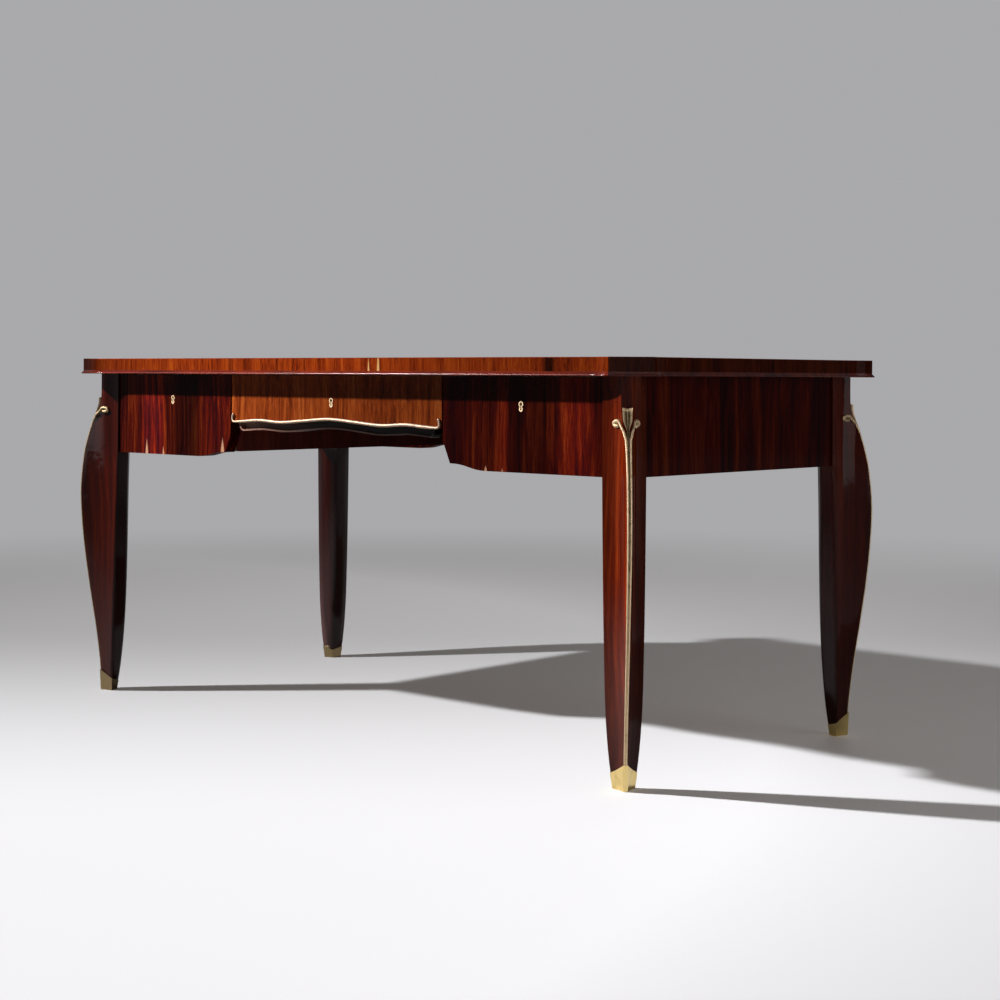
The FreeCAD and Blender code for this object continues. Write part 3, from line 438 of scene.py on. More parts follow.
# %% Leg woods
front_right_leg_wood = veneer("front_right_leg_wood", WARM_LEG, start=(5.2, 0, 0), contrast=1.2,
                              leg=(1.5, 0.60, 1.75, 0.004, MOUNTED_EDGE), coat=0.18)
front_left_leg_wood = veneer("front_left_leg_wood", LEG, start=(2.6, 0, 0), strength=0.30,
                             leg=(0.5, 1.0, 1.0, 0.012, MOUNTED_EDGE), coat=0.55)
rear_left_leg_wood = veneer("rear_left_leg_wood", LEG, start=(9.4, 0, 0), strength=0.15,
                            leg=(0.6, 1.0, 3.6, 0.026, 1.10), coat=1.0)
rear_right_leg_wood = veneer("rear_right_leg_wood", LEG, start=(13.7, 0, 0), strength=0.6,
                             leg=(0.8, 1.0, 1.0, 0.012, MOUNTED_EDGE), coat=0.5)
print("with the legs", len(bpy.data.materials))

# %% [markdown]
# ## Top
#
# The top has a field with the stripes along its length, inside a border whose stripes run
# across it, and its edge is veneered with the stripes upright. The direction of each border
# side is chosen by where a point lies.

# %% Top veneers
# Along the edge of the top: narrow dark leaves, and painted shade at both ends, where the corners turn
# from the light, and towards the right.
EDGE_ZONES = ((-0.83, 0.10), (-0.77, 0.24), (-0.68, 0.45), (-0.50, 0.68), (-0.30, 0.78), (-0.279, 0.78),
              (-0.272, 0.35), (-0.265, 0.78), (-0.13, 0.80), (-0.122, 0.45), (-0.114, 0.80), (0.10, 0.95),
              (0.24, 0.76), (0.30, 0.68), (0.602, 0.64), (0.607, 0.07), (0.627, 0.07), (0.632, 0.66),
              (0.74, 0.66), (0.78, 0.33))
EDGE_FLAMES = ((0.150, 0.725, 0.0035, 0.045), (0.177, 0.730, 0.004, 0.060))
top_edge_veneer = veneer("top_edge_veneer", EDGE, start=(2.2, 0, 0), width=0.5, weights=(0.26, 0.38, 0.36),
                         contrast=1.4, strength=1.05, zones=EDGE_ZONES, flames=EDGE_FLAMES,
                         flame_colour=(0.62, 0.36, 0.13))
field_veneer = veneer("field_veneer", RED, grain="X", start=(0.0, 31.0, 0), width=1.3)
# Half the length of the top less half its depth.
MITRE = 0.413


def border_veneer():
    """Cross banding, with a mitre in each corner where |x| less |y| is MITRE: the grain runs
    along y before it and along x beyond it."""
    material, tree, shader = new_material("border_veneer")
    place = split(tree, position(tree))
    long_side = striped_value(tree, grain_coordinates(tree, "Y", (2.2, 0, 0)), 0.8)
    short_side = striped_value(tree, grain_coordinates(tree, "X", (2.2, 4.0, 0)), 0.8)
    run = sums(tree, "SUBTRACT", sums(tree, "ABSOLUTE", place[0]), MITRE)
    side = sums(tree, "GREATER_THAN", run, sums(tree, "ABSOLUTE", place[1]))
    stripes = put(tree, "ShaderNodeMix", {"data_type": "FLOAT"}, i0=side, i2=long_side, i3=short_side)
    tree.links.new(ramp(tree, stripes.outputs[0], EDGE), shader.inputs["Base Color"])
    lacquer(shader)
    return material


top_border_veneer = border_veneer()
print("with the top", len(bpy.data.materials))

# %% [markdown]
# ## Oak
#
# Everything inside is plain oak with a thin wax finish: pale, with a fine open grain and
# almost no gloss.

# %% Oak
OAK = ((0.0, (0.24, 0.13, 0.055)), (0.5, (0.42, 0.26, 0.125)), (1.0, (0.56, 0.38, 0.20)))
OPEN_PORES = 1100
OPEN_PORE_COLOUR = (0.15, 0.08, 0.035)


def oak(name, grain, start):
    """Stripes in the colours of oak, darker open pores, and a bump that follows the stripes."""
    material, tree, shader = new_material(name)
    coordinates = grain_coordinates(tree, grain, start)
    stripes = striped_value(tree, coordinates, 0.7, (0.3, 0.35, 0.35))
    pores = ease(tree, noise(tree, coordinates, OPEN_PORES, 1.0), 0.58, 0.68, 0.0, 0.4)
    colour = mix(tree, pores, ramp(tree, stripes, OAK), OPEN_PORE_COLOUR)
    tree.links.new(colour, shader.inputs["Base Color"])
    bump = put(tree, "ShaderNodeBump", Strength=0.2, Distance=0.0005, Height=stripes)
    tree.links.new(bump.outputs[0], shader.inputs["Normal"])
    shader.inputs["Roughness"].default_value = 0.55
    return material


oak_along = oak("oak_along", "X", (0, 1.0, 0))
oak_deep = oak("oak_deep", "Y", (2.0, 0, 0))
print("oak along the desk and across it")

# %% [markdown]
# ## Gilt bronze, brass and steel
#
# The mounts are cast bronze with a worn gilding: pale champagne where fingers and cloths
# reach, olive brown in the hollows. Each casting made below carries a value on its points,
# 1 in the hollows and 0 on the crests, and the metal reads it; the same value also holds
# painted shade under the pull bar, in the groove between the reeds and on the left horns.
# Parts without it read 0, which is bare gilding. The mounts that stand away from the light,
# and the pull under the edge of the top, get darker copies of the gilding: painted shade.


# %% Metals
def metal(name, bright, deep, roughness, spots=90.0):
    """A metal that goes from bright to deep with its value of patina and painted shade plus a
    cloud of wear, and gets rougher with them. Fine noise roughens its surface."""
    material, tree, shader = new_material(name)
    place = position(tree)
    patina_and_shade = put(tree, "ShaderNodeAttribute", {"attribute_name": "patina_and_shade"}).outputs["Fac"]
    cloud = noise(tree, place, spots, 4.0, 0.6)
    wear_and_shade = sums(tree, "ADD", patina_and_shade, ease(tree, cloud, 0.50, 0.75, 0.0, 0.30), clamp=True)
    tree.links.new(mix(tree, wear_and_shade, bright, deep), shader.inputs["Base Color"])
    satin = sums(tree, "ADD", sums(tree, "MULTIPLY", wear_and_shade, 0.25), roughness)
    tree.links.new(satin, shader.inputs["Roughness"])
    bump = put(tree, "ShaderNodeBump", Strength=0.12, Distance=0.0003, Height=noise(tree, place, 700, 3.0))
    tree.links.new(bump.outputs[0], shader.inputs["Normal"])
    shader.inputs["Metallic"].default_value = 1.0
    return material


gilding = metal("gilding", (0.62, 0.46, 0.29), (0.075, 0.052, 0.019), 0.58)
# Darker copies of the gilding for the pull and the left mounts, and of the sabot gilding for the left
# sabots: painted shade.
painted_shade_pull_gilding = metal("painted_shade_pull_gilding", (0.34, 0.245, 0.175), (0.075, 0.052, 0.025), 0.58)
painted_shade_gilding = metal("painted_shade_gilding", (0.24, 0.175, 0.10), (0.05, 0.036, 0.014), 0.58)
sabot_gilding = metal("sabot_gilding", (0.74, 0.56, 0.23), (0.26, 0.16, 0.05), 0.32, 60.0)
painted_shade_sabot_gilding = metal("painted_shade_sabot_gilding", (0.25, 0.18, 0.09), (0.11, 0.07, 0.035), 0.30, 60.0)
lock_brass = metal("lock_brass", (0.72, 0.55, 0.26), (0.22, 0.15, 0.06), 0.34)
steel = metal("steel", (0.50, 0.50, 0.51), (0.14, 0.12, 0.10), 0.36)
print("materials so far", len(bpy.data.materials))

# %% [markdown]
# ## Which part gets which finish
#
# Grain runs along a board, so rails lie in X and the drawer sides in Y. The rule is a list
# of endings and names, read from top to bottom.

# %% Finish of the solid parts
FINISHES = (
    ("left_drawer_front", left_front_veneer), ("centre_drawer_front", centre_front_veneer),
    ("right_drawer_front", right_front_veneer), ("_end_panel", end_veneer), ("_knee_panel", knee_veneer),
    ("_rear_panel", rear_veneer), ("rear_centre_panel", rear_veneer),
    ("front_right_leg", front_right_leg_wood), ("front_left_leg", front_left_leg_wood),
    ("rear_left_leg", rear_left_leg_wood), ("rear_right_leg", rear_right_leg_wood),
    ("top_field", field_veneer), ("top_border", top_border_veneer), ("top_lipping", top_edge_veneer),
    ("under_board", moulding_wood), ("_grip", grip_wood), ("_mount", gilding),
    # The left sabots take the darker copy of the sabot gilding: painted shade.
    ("_left_sabot", painted_shade_sabot_gilding), ("_sabot", sabot_gilding),
    ("_pull", gilding), ("_key_plate", gilding), ("_lock_case", lock_brass), ("_lock_bolt", steel),
    ("top_screws", steel), ("_sides", oak_deep), ("_bottom", oak_deep), ("runners", oak_deep),
    ("kickers", oak_deep), ("_floor_board", oak_deep), ("", oak_along),
)
for name, part in nodes.items():
    finish = next(material for ending, material in FINISHES if name.endswith(ending))
    part.data.materials.clear()
    part.data.materials.append(finish)
print("finished", len(nodes), "parts")

# %% [markdown]
# ## Working out surfaces
#
# Every new piece is a grid of points: rows follow the length of the piece, columns go round
# its section. The points are worked out all at once with numpy. A helper turns the grid into
# a mesh, closes it round the section and caps both ends with a middle point.

# %% Grid to mesh
CREASE = math.radians(45)


def grid_faces(rows, columns):
    """Quads between neighbours of a grid that closes on itself sideways. The point in row r
    and column c has the number r * columns + c."""
    row, column = np.meshgrid(np.arange(rows - 1), np.arange(columns), indexing="ij")
    right = (column + 1) % columns
    low, high = row * columns, (row + 1) * columns
    return np.stack([low + column, low + right, high + right, high + column], -1).reshape(-1, 4)


def closed_part(grid, first):
    """Points and faces of a closed tube, its two ends capped from the middle of each end."""
    rows, columns = grid.shape[:2]
    points = np.vstack([grid.reshape(-1, 3), grid[0].mean(0), grid[-1].mean(0)])
    near = np.arange(columns)
    after, last = (near + 1) % columns, (rows - 1) * columns
    faces = grid_faces(rows, columns).tolist()
    faces += np.stack([np.full(columns, rows * columns), after, near], 1).tolist()
    faces += np.stack([np.full(columns, rows * columns + 1), last + near, last + after], 1).tolist()
    return points, [[first + corner for corner in face] for face in faces]


def casting(name, tubes, material, body):
    """One object from several closed tubes, each a grid of points in metres with a grid of values
    for patina and painted shade. Faces are turned outwards and smooth up to the crease angle."""
    points, faces, tones, count = [], [], [], 0
    for grid, patina_and_shade in tubes:
        part_points, part_faces = closed_part(grid, count)
        patina_and_shade = np.broadcast_to(patina_and_shade, grid.shape[:2])
        points.append(part_points)
        faces += part_faces
        tones += [patina_and_shade.reshape(-1), [patina_and_shade[0].mean(), patina_and_shade[-1].mean()]]
        count += len(part_points)
    mesh = bpy.data.meshes.new(name)
    mesh.from_pydata(np.vstack(points).tolist(), [], faces)
    tone = mesh.attributes.new("patina_and_shade", "FLOAT", "POINT")
    tone.data.foreach_set("value", np.concatenate(tones).astype(np.float32))
    bm = bmesh.new()
    bm.from_mesh(mesh)
    bmesh.ops.recalc_face_normals(bm, faces=bm.faces)
    bm.to_mesh(mesh)
    bm.free()
    mesh.polygons.foreach_set("use_smooth", np.ones(len(mesh.polygons), bool))
    mesh.set_sharp_from_angle(angle=CREASE)
    mesh.materials.append(material)
    made = bpy.data.objects.new(name, mesh)
    scene.collection.objects.link(made)
    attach(made, body)
    return made


def unit_ball(columns, rows):
    """A ball of radius 1 by two angles: rows from pole to pole, columns round it."""
    turn = np.linspace(-np.pi / 2, np.pi / 2, rows)[:, None]
    angle = np.linspace(0, 2 * np.pi, columns, endpoint=False)[None]
    high = np.sin(turn) + 0 * angle
    return np.stack([np.cos(turn) * np.cos(angle), np.cos(turn) * np.sin(angle), high], -1)


print("faces in a grid of 3 rows of 4 points", len(grid_faces(3, 4)))

# %% [markdown]
# ## The legs as a formula
#
# The mounts lie on the curved front edge of each leg, so the place of that edge and of the
# two faces beside it has to be known. A leg is described in its own directions: outward,
# away from the desk along the diagonal, and sideways. The same few stations that shape the
# solid leg are joined here by a smooth cubic.

# %% Leg shape
# Millimetres: half the diagonal of the post, the furthest that the front edge stands out
# from the post's corner, and half the width of the flat land along that edge.
HALF_DIAGONAL, RIDGE, LAND = 39.315, 48.5, 11.0
# The outer corner of a post, from the middle of the desk.
LEG_CORNER = np.array([768.2, 359.2])
BOX_BOTTOM, BOX_HEIGHT = 547.0, 179.0
# Stations of the free leg and of the post beside the box: height, ridge, half land.
LOW_Z = BOX_BOTTOM * np.array((0, .11, .256, .42, .585, .731, .859, 1, 1.0475))
LOW_RIDGE = RIDGE * np.array((-.01, .062, .258, .546, .804, .959, 1, .845, .722))
LOW_LAND = LAND * np.array((.309, .318, .327, .345, .38, .42, .44, .46, .48))
HIGH_Z = BOX_BOTTOM + BOX_HEIGHT * np.array((-.145, 0, .145, .296, .42, .52, .62, .68, .8, 1))
HIGH_RIDGE = RIDGE * np.array((.928, .845, .722, .567, .4, .237, .12, .08, .064, .064))
HIGH_LAND = LAND * np.array((.45, .46, .48, .53, .63, .84, .95, .99, 1, 1))


def smooth_through(x, y, at):
    """A cubic between stations whose slope at each one is that of its two neighbours."""
    slope = np.concatenate([[y[1] - y[0]], y[2:] - y[:-2], [y[-1] - y[-2]]])
    slope /= np.concatenate([[x[1] - x[0]], x[2:] - x[:-2], [x[-1] - x[-2]]])
    spot = np.clip(np.searchsorted(x, at) - 1, 0, len(x) - 2)
    step = x[spot + 1] - x[spot]
    t = (at - x[spot]) / step
    leaving = y[spot] * (1 + 2 * t) + slope[spot] * step * t
    coming = y[spot + 1] * (3 - 2 * t) - slope[spot + 1] * step * (1 - t)
    return leaving * (1 - t) ** 2 + coming * t * t


def ridge_and_land(z):
    """How far outward the front edge of the leg stands at height z, and half its flat width."""
    low = smooth_through(LOW_Z, LOW_RIDGE, z), smooth_through(LOW_Z, LOW_LAND, z)
    high = smooth_through(HIGH_Z, HIGH_RIDGE, z), smooth_through(HIGH_Z, HIGH_LAND, z)
    upper = z > BOX_BOTTOM
    return np.where(upper, high[0], low[0]), np.where(upper, high[1], low[1])


def wood(t, z):
    """How far outward the wood lies at sideways place t and height z. Over the land it is
    level. Beside it the face is a hollow arc down to the corner of the post, which it meets
    at 45 degrees. The share of the chord that belongs to t is found by halving."""
    ridge, land = ridge_and_land(z)
    back, across = ridge + HALF_DIAGONAL, HALF_DIAGONAL - land
    chord = np.hypot(back, across)
    sag = chord / 2 * np.tan(np.maximum(np.pi / 4 - np.arctan2(across, back), 1e-4) / 2)
    radius = (chord * chord / 4 + sag * sag) / (2 * sag)
    wanted = np.maximum(np.abs(t) - land, 0)
    low, high = np.zeros_like(wanted), np.ones_like(wanted)
    for _ in range(24):
        share = (low + high) / 2
        dip = np.sqrt(radius**2 - (chord * (share - 0.5)) ** 2) - (radius - sag)
        short = across * share - dip * back / chord < wanted
        low, high = np.where(short, share, low), np.where(short, high, share)
    dip = np.sqrt(radius**2 - (chord * (low - 0.5)) ** 2) - (radius - sag)
    return np.where(wanted > 0, ridge - back * low - dip * across / chord, ridge)


def unit(arrows):
    """Each vector divided by its length."""
    return arrows / np.maximum(np.linalg.norm(arrows, axis=-1, keepdims=True), 1e-9)


def wood_normal(t, z):
    """The direction that leaves the wood, from its slope over 1.5 mm to each side."""
    slope_t = (wood(t + 1.5, z) - wood(t - 1.5, z)) / 3
    slope_z = (wood(t, z + 1.5) - wood(t, z - 1.5)) / 3
    return unit(np.stack([np.ones_like(slope_t), -slope_t, -slope_z], -1))


print("front edge at 300 mm high stands out", ridge_and_land(np.array([300.0]))[0].round(1), "mm")

# %% [markdown]
# ## Reeds and ram's horns
#
# Two reeds run up the edge of each leg from the sabot. Above the box's lower edge they part,
# lean out over the faces of the post and roll up into two horns beside a palmette. One
# closed line, worked out as sideways place and height, is laid on the wood, and a round
# section that grows and shrinks goes along it.

# %% Tube along a line on the leg
RING = 14
# The middle of the section stands this many radii off the wood.
LIFT = 0.45


def tube_on_leg(t, z, radius, shade):
    """A ring of points round each place of a line: the middle stands LIFT radii off the wood,
    one axis of the ring is the wood's normal and the other is square to the line. The side
    towards the wood gets patina, and the painted shade given adds to that."""
    normal = wood_normal(t, z)
    middle = np.stack([wood(t, z), t, z], -1) + normal * (radius * LIFT)[:, None]
    along = unit(np.gradient(middle, axis=0))
    across = unit(np.cross(along, normal))
    normal = unit(np.cross(across, along))
    angle = np.linspace(0, 2 * np.pi, RING, endpoint=False)[None, :, None]
    ring = np.cos(angle) * normal[:, None] + np.sin(angle) * across[:, None]
    grid = middle[:, None] + ring * radius[:, None, None]
    patina_and_shade = np.clip(0.15 - 1.3 * np.cos(angle[..., 0]), 0, 1) * np.ones((len(t), 1))
    return grid, np.clip(patina_and_shade * 0.8 + shade, 0, 1)


# Heights in mm: inside the sabot, where the reeds leave the land, where the horns begin.
REED_FOOT, REED_TOP, HORN_FOOT = 22, 612, 630
FOOT_STATIONS = 70
# The stem that leans out from the land, and the middle of the horn's roll.
STEM_T = np.array((5.6, 7.0, 9.3, 11.0, 12.4))
STEM_Z = np.array((620.5, 628.5, 635.5, 641.0, 645.6))
STEM_RADIUS = np.array((2.3, 2.3, 2.4, 2.7, 3.2))
ROLL_T, ROLL_Z = 15.3, 642.7
# How much painted shade darkens the horn on the left of each mount.
PAINTED_HORN_SHADE = 0.35


def reed_land(z):
    """Half the width that the reeds keep to, 0.2 mm inside the land."""
    return ridge_and_land(z)[1] - 0.2


def reed_line(side):
    """Sideways places, heights and radii of one reed, from inside the sabot to the tip of the
    horn: the edge of the land, then a leaning stem, then a turn of 215 degrees that tightens."""
    foot = np.linspace(REED_FOOT, REED_TOP, FOOT_STATIONS)
    foot_radius = 0.34 * reed_land(foot)
    share = np.linspace(0, 1, 30)
    angle = np.radians(112 - 215 * share)
    curl = 4.7 - 0.9 * share
    roll_t, roll_z = ROLL_T + curl * np.cos(angle), ROLL_Z + curl * np.sin(angle)
    roll_radius = 3.6 + 0.3 * np.sin(np.pi * share**0.8) - 0.2 * share
    t = np.concatenate([reed_land(foot) - foot_radius, STEM_T, roll_t])
    z = np.concatenate([foot, STEM_Z, roll_z])
    radius = np.concatenate([foot_radius, STEM_RADIUS, roll_radius])
    run = np.concatenate([[0], np.cumsum(np.hypot(np.diff(t), np.diff(z)))])
    leave = run[FOOT_STATIONS - 1]
    even = np.concatenate([np.linspace(0, leave, 60, endpoint=False), np.linspace(leave, run[-1], 90)])
    return [smooth_through(run, stations, even) for stations in (side * t, z, radius)]


def wear_and_shade(side):
    """The painted shade of the horn on one side, -1 or 1."""
    return PAINTED_HORN_SHADE if side < 0 else 0.0


def horn(side):
    """One reed with its horn, darker by painted shade from the foot of the horn on."""
    t, z, radius = reed_line(side)
    return tube_on_leg(t, z, radius, np.where(z > HORN_FOOT, wear_and_shade(side), 0.0)[:, None])


def horn_tip(side):
    """The round end of the horn: a ball round the last place of its line."""
    t, z, radius = (values[-1:] for values in reed_line(side))
    normal = wood_normal(t, z)[0]
    across = unit(np.cross(normal, np.array([0, 0, 1.0])))
    middle = np.array([wood(t, z)[0], t[0], z[0]]) + normal * LIFT * radius
    shape = unit_ball(RING, 8) @ np.stack([across, np.cross(across, normal), normal])
    return middle + radius * shape, wear_and_shade(side)


print("length of a reed and its horn", len(reed_line(1)[0]), "places")

# %% [markdown]
# ## Hollow and palmette
#
# The hollow between the reeds is a ribbon of its own, painted as dark as the shade in a real
# casting, and darker towards the top. The palmette stands on its end like an open tulip. It
# is a sheet over the wood with a back of its own, so that it closes to a solid.


# %% Hollow and palmette
def reed_hollow():
    """The ribbon between the reeds: as wide as the space, 0.5 mm off the wood, closed below."""
    z = np.linspace(REED_FOOT, 629, 90)[:, None]
    half = 0.42 * reed_land(z) + 0.10 * np.maximum(z - REED_TOP, 0)
    corner = np.array([[-1, -0.4], [-0.6, 0.75], [0, 0.45], [0.6, 0.75], [1, -0.4]])
    t = half * corner[:, 0]
    x = wood(t, z + 0 * t) + corner[:, 1]
    return np.stack([x, t, z + 0 * t], -1), np.clip(0.15 + (z - 150) / 500, 0.15, 0.85) + 0 * t


# The palmette's foot and height, and its half width at shares of that height.
TULIP_FOOT, TULIP_HEIGHT = 626, 45.3
TULIP_U = np.array((0, .07, .19, .32, .44, .56, .74, .93, 1.0))
TULIP_HALF = np.array((0.5, 1.3, 3.0, 5.1, 7.1, 7.9, 8.2, 8.8, 9.1))


def palmette(columns=25, rows=36):
    """A tulip: v goes across from -1 to 1 and u up from 0 to 1. The half width follows a few
    shares of the height, the rims are raised, three flutes run up it, and the head flares
    off the wood and is scooped between its two corners."""
    u = np.linspace(0, 1, rows)[:, None]
    v = np.linspace(-1, 1, columns)[None]
    half = smooth_through(TULIP_U, TULIP_HALF, u)
    t = half * v
    z = TULIP_FOOT + TULIP_HEIGHT * u - 2.2 * (1 - v * v) * np.clip((u - 0.8) / 0.2, 0, 1)
    base = wood(t, z)
    flute = 0.45 * np.cos(3 * np.pi * v) * np.clip(1.2 - np.abs(v), 0, 1)
    rim = 1.9 * np.abs(v) ** 4
    flare = 2.2 * np.clip((u - 0.6) / 0.4, 0, 1) ** 2
    top = base + 2.6 + flute + rim + flare - 1.6 * np.clip((u - 0.94) / 0.06, 0, 1) ** 2
    low = base - 0.4 + 0.3 * flare
    outer = np.stack([top, t + 0 * z, z], -1)
    inner = np.stack([low, t + 0 * z, z], -1)[:, ::-1]
    patina_and_shade = np.clip(0.88 - rim / 1.9 - 0.60 * flute, 0, 1)
    patina_and_shade = patina_and_shade * (1.0 - 0.7 * np.clip((u - 0.82) / 0.12, 0, 1))
    return np.concatenate([outer, inner], 1), np.concatenate([patina_and_shade, 0.9 + 0 * patina_and_shade], 1)


print("points across and up a palmette", palmette()[0].shape[:2])

# %% [markdown]
# ## Four mounts
#
# A mount is one casting, so all its tubes become one object. They are worked out once, in
# the directions of a leg, and then turned onto each of the four corners. The two mounts at
# the left end get a darker copy of the gilding, as painted shade.


# %% Four mounts
def on_leg(grid, side, end):
    """Leg millimetres to desk metres: outward lies along the diagonal of that corner."""
    angle = np.arctan2(end, side)
    x = side * LEG_CORNER[0] + grid[..., 0] * np.cos(angle) - grid[..., 1] * np.sin(angle)
    y = end * LEG_CORNER[1] + grid[..., 0] * np.sin(angle) + grid[..., 1] * np.cos(angle)
    return np.stack([x, y, grid[..., 2]], -1) / 1000


mount_tubes = [horn(-1), horn(1), horn_tip(-1), horn_tip(1), reed_hollow(), palmette()]
CORNERS = {"front_left": (-1, -1), "front_right": (1, -1), "rear_right": (1, 1), "rear_left": (-1, 1)}
for corner, (side, end) in CORNERS.items():
    placed = [(on_leg(grid, side, end), patina_and_shade) for grid, patina_and_shade in mount_tubes]
    # The left mounts take the darker copy of the gilding: painted shade.
    finish = gilding if side > 0 else painted_shade_gilding
    mount = casting(corner + "_horn_mount", placed, finish, "carcass")
    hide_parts(corner + "_mount")
print("points in one mount", len(mount.data.vertices))

# %% [markdown]
# ## Pull bar
#
# The bar follows the shaped lower edge of the middle drawer and turns up at both ends in a
# small hook with a round tip. Its section is an oval, flat against the wood, that is
# thinner in the hooks. It is made the same way as the reeds: one line, one section.

# %% Pull bar
# The lower edge of the middle drawer, in mm: places along the desk and heights.
LOWER_EDGE_X = 312.5 * np.array((-1, -.86, -.7, -.48, -.25, 0, .25, .48, .7, .86, 1))
LOWER_EDGE_Z = 624.1 + np.array((0, 2, 5, 2, 6.65, 11.3, 6.65, 2, 5, 2, 0))
# How far back the face lies that the bar is fixed to.
FRONT_FACE = -355.2
# The length of the line that is taken up by one hook, and the middle of a hook's tip.
HOOK_RUN = 24
HOOK_TIP = (305.9, -357.6, 640.4)


def pull_line():
    """Places and heights along the bar, with a quarter round and an upright end at each end
    of it, and how far each point is from the nearer end."""
    bar_x = np.linspace(-296, 296, 61)
    turn = np.radians(np.linspace(-90, 0, 9)[1:])
    hook_x = np.concatenate([301 + 7.4 * np.cos(turn), (308.2, 307.3, 306.2)])
    hook_z = np.concatenate([632.2 + 7.4 * np.sin(turn), (635.4, 638.2, 640.4)])
    x = np.concatenate([-hook_x[::-1], bar_x, hook_x])
    z = np.concatenate([hook_z[::-1], smooth_through(LOWER_EDGE_X, LOWER_EDGE_Z, bar_x), hook_z])
    run = np.concatenate([[0], np.cumsum(np.hypot(np.diff(x), np.diff(z)))])
    last = run[-1]
    even = np.concatenate([np.linspace(0, HOOK_RUN, 24, endpoint=False),
                           np.linspace(HOOK_RUN, last - HOOK_RUN, 120),
                           np.linspace(last - HOOK_RUN, last, 25)[1:]])
    return smooth_through(run, x, even), smooth_through(run, z, even), np.minimum(even, last - even)


def pull_tube(columns=18):
    """An oval section, cut flat behind: its half height and half depth grow from the hooks to
    the bar, and its underside is darkened with painted shade."""
    x, z, from_end = pull_line()
    grown = np.clip((from_end - 14) / 40, 0, 1)[:, None]
    high, deep = 2.3 + 1.1 * grown, 2.6 + 1.8 * grown
    along = unit(np.stack([np.gradient(x), np.gradient(z)], -1))
    angle = np.linspace(0, 2 * np.pi, columns, endpoint=False)[None]
    up = np.sign(np.cos(angle)) * np.abs(np.cos(angle)) ** 0.85 * high
    out = np.maximum(np.sin(angle), -0.75) * deep
    y = FRONT_FACE - 0.75 * deep - out
    grid = np.stack([x[:, None] - along[:, 1:] * up, y, z[:, None] + along[:, :1] * up], -1)
    return grid / 1000, np.clip(-0.1 - np.cos(angle), 0, 1) * 0.6 * np.ones_like(y)


def hook_tip(side):
    """The round end of a hook, a ball with a radius of 2.7 mm."""
    middle = np.array(HOOK_TIP) * (side, 1, 1)
    return (middle + 2.7 * unit_ball(16, 9)) / 1000, 0.0


pull = casting("pull_bar", [pull_tube(), hook_tip(-1), hook_tip(1)], painted_shade_pull_gilding, "centre_drawer")
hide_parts("centre_drawer_pull")
print("points in the pull", len(pull.data.vertices))

# %% [markdown]
# ## Floor
#
# A pale floor that fades into a pale background has no horizon. The light of one small lamp
# falls off with the distance, so the floor's own colour gets lighter away from it, and
# darker again with the depth behind the desk. To the light that bounces it is a dark grey,
# by Light Path, so that it doesn't brighten the desk from below.

# %% Floor
# The small hard lamp. The floor's colour is evened out round it.
KEY_LAMP = (-2.26, -1.98, 2.54)
PALE = (0.40, 0.40, 0.41)
BOUNCE = (0.12, 0.12, 0.12)


def floor_colour(tree, place, rays):
    """White times the cube of the distance from the lamp, at most 1, times a strength that
    falls with the depth along the view. Dark grey for the light that bounces."""
    away = vectors(tree, "DISTANCE", place, KEY_LAMP, "Value")
    even = sums(tree, "POWER", sums(tree, "MULTIPLY", away, 0.2245), 3.0)
    even = sums(tree, "MINIMUM", even, 1.0)
    depth = vectors(tree, "DOT_PRODUCT", place, tuple(forward), "Value")
    even = sums(tree, "MULTIPLY", even, ease(tree, depth, -1.1, 1.3, 1.0, 0.42))
    seen = sums(tree, "SUBTRACT", 1.0, rays["Is Diffuse Ray"])
    return mix(tree, seen, BOUNCE, mix(tree, even, (0.0, 0.0, 0.0), (0.97, 0.97, 1.0)))


def floor_material():
    """The floor's colour and a faint glow for the camera alone, faded into the background's
    pale between 2.2 and 5 m from the middle."""
    material, tree, shader = new_material("floor")
    place = position(tree)
    rays = put(tree, "ShaderNodeLightPath").outputs
    tree.links.new(floor_colour(tree, place, rays), shader.inputs["Base Color"])
    shader.inputs["Emission Color"].default_value = (1, 0.9, 0.83, 1)
    tree.links.new(sums(tree, "MULTIPLY", rays["Is Camera Ray"], 0.08), shader.inputs["Emission Strength"])
    shader.inputs["Roughness"].default_value = 0.7
    shader.inputs["Specular IOR Level"].default_value = 0.2
    backdrop = put(tree, "ShaderNodeEmission", Color=(*PALE, 1), Strength=1.0).outputs[0]
    far = ease(tree, vectors(tree, "LENGTH", place, output="Value"), 2.2, 5.0)
    blend = put(tree, "ShaderNodeMixShader", i0=far, i1=shader.outputs[0], i2=backdrop)
    tree.links.new(blend.outputs[0], tree.nodes["Material Output"].inputs["Surface"])
    return material


def disc(name, radius, z, count=96):
    """A flat disc: points at equal angles on a circle."""
    angle = np.linspace(0, 2 * np.pi, count, endpoint=False)
    points = np.stack([radius * np.cos(angle), radius * np.sin(angle), np.full(count, z)], 1)
    mesh = bpy.data.meshes.new(name)
    mesh.from_pydata(points.tolist(), [], [list(range(count))])
    made = bpy.data.objects.new(name, mesh)
    scene.collection.objects.link(made)
    return made


floor = disc("floor", 14.0, -0.0005)
floor.data.materials.append(floor_material())
floor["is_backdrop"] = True
print("floor", floor.dimensions.x, "m across")

# %% [markdown]
# ## Background
#
# The world has two faces. As a light it is weak and warm, and fills the shadows a little.
# What the camera and the reflections see of it is another thing, told apart by Light Path:
# a plain pale grey for the camera, and in the reflections a brighter side to the left, a
# dim one to the right, and a bright window in front of the desk. The window gives the metal
# its light lines, and adds no light to the wood.

# %% Background
BRIGHT_SIDE, BRIGHT_FROM = (0.45, 0.45, 0.46), (-0.766, -0.643, 0.0)
DIM_SIDE = (0.24, 0.24, 0.25)
WINDOW, WINDOW_FROM = (3.0, 3.0, 3.1), (0.35, -0.937, 0.0)

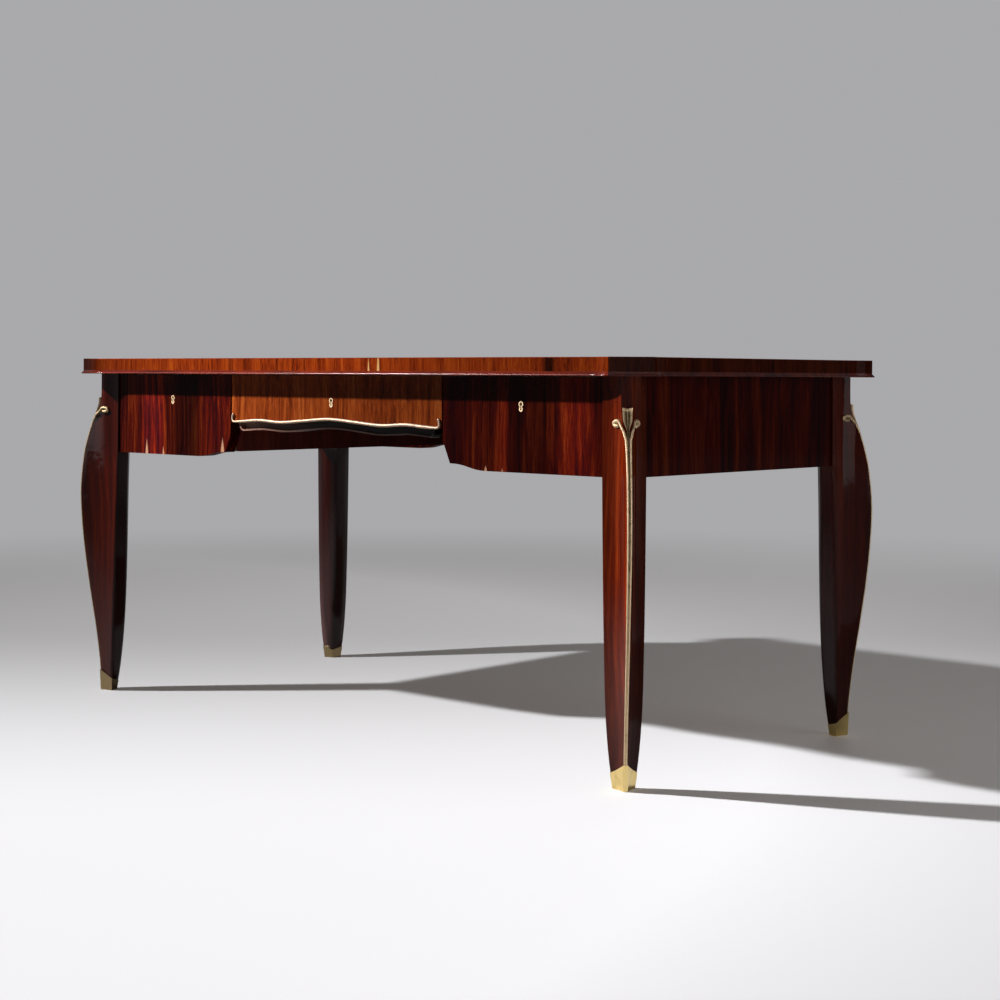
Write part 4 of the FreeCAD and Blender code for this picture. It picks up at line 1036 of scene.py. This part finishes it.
world = bpy.data.worlds.new("studio")
scene.world = world
world.use_nodes = True
sky = world.node_tree
direction = put(sky, "ShaderNodeTexCoord").outputs["Generated"]
side = ease(sky, vectors(sky, "DOT_PRODUCT", direction, BRIGHT_FROM, "Value"), 0.10, 0.95)
window = ease(sky, vectors(sky, "DOT_PRODUCT", direction, WINDOW_FROM, "Value"), 0.78, 0.96)
mirrored = mix(sky, window, mix(sky, side, DIM_SIDE, BRIGHT_SIDE), WINDOW)

rays = put(sky, "ShaderNodeLightPath").outputs
seen = sums(sky, "MAXIMUM", rays["Is Glossy Ray"], rays["Is Transmission Ray"])
seen = sums(sky, "MAXIMUM", rays["Is Camera Ray"], seen)
shown = mix(sky, rays["Is Camera Ray"], mirrored, PALE)
shown = put(sky, "ShaderNodeBackground", Color=shown, Strength=1.0)
soft = put(sky, "ShaderNodeBackground", Color=(1.0, 0.92, 0.86, 1), Strength=0.016)
both = put(sky, "ShaderNodeMixShader", i0=seen, i1=soft.outputs[0], i2=shown.outputs[0])
sky.links.new(both.outputs[0], sky.nodes["World Output"].inputs["Surface"])
print("background nodes", len(sky.nodes))

# %% [markdown]
# ## Lamps
#
# A small hard lamp stands to the left in front, because the shadows on the floor point away
# from there. It also throws the shadow of the top on the drawer fronts. Three wide weak
# lamps above, to the right and behind keep the far sides from going black.


# %% Lamps
def lamp(name, place, aim, size, power, tint=(1, 1, 1)):
    """A square lamp of this size in metres and power in watts, turned to look at a place."""
    light = bpy.data.lights.new(name, "AREA")
    light.energy, light.size, light.color = power, size, tint
    holder = bpy.data.objects.new(name, light)
    scene.collection.objects.link(holder)
    facing = (Vector(aim) - Vector(place)).to_track_quat("-Z", "Y").to_matrix().to_4x4()
    holder.matrix_world = Matrix.Translation(place) @ facing


MIDDLE = (0.0, 0.0, 0.4)
lamp("key", KEY_LAMP, (0.0, -0.3, 0.6), 0.13, 300)
lamp("overhead", (0.6, 0.8, 3.4), MIDDLE, 2.4, 4, (1.0, 0.94, 0.90))
lamp("right", (4.6, 1.2, 1.3), MIDDLE, 2.0, 20)
lamp("behind", (-1.2, 4.2, 1.6), MIDDLE, 2.0, 14)
print("lamps", len(bpy.data.lights))

# %% [markdown]
# ## Size of the dressed desk
#
# The box of the solid parts and the box of the dressed desk are both worked out, and their
# difference is printed.

# %% Size
scene_box = [list(corner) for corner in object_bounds()]
grown = np.array(scene_box) - np.array(cad_box)
print("difference of the boxes in mm", (grown * 1000).round(2).tolist())
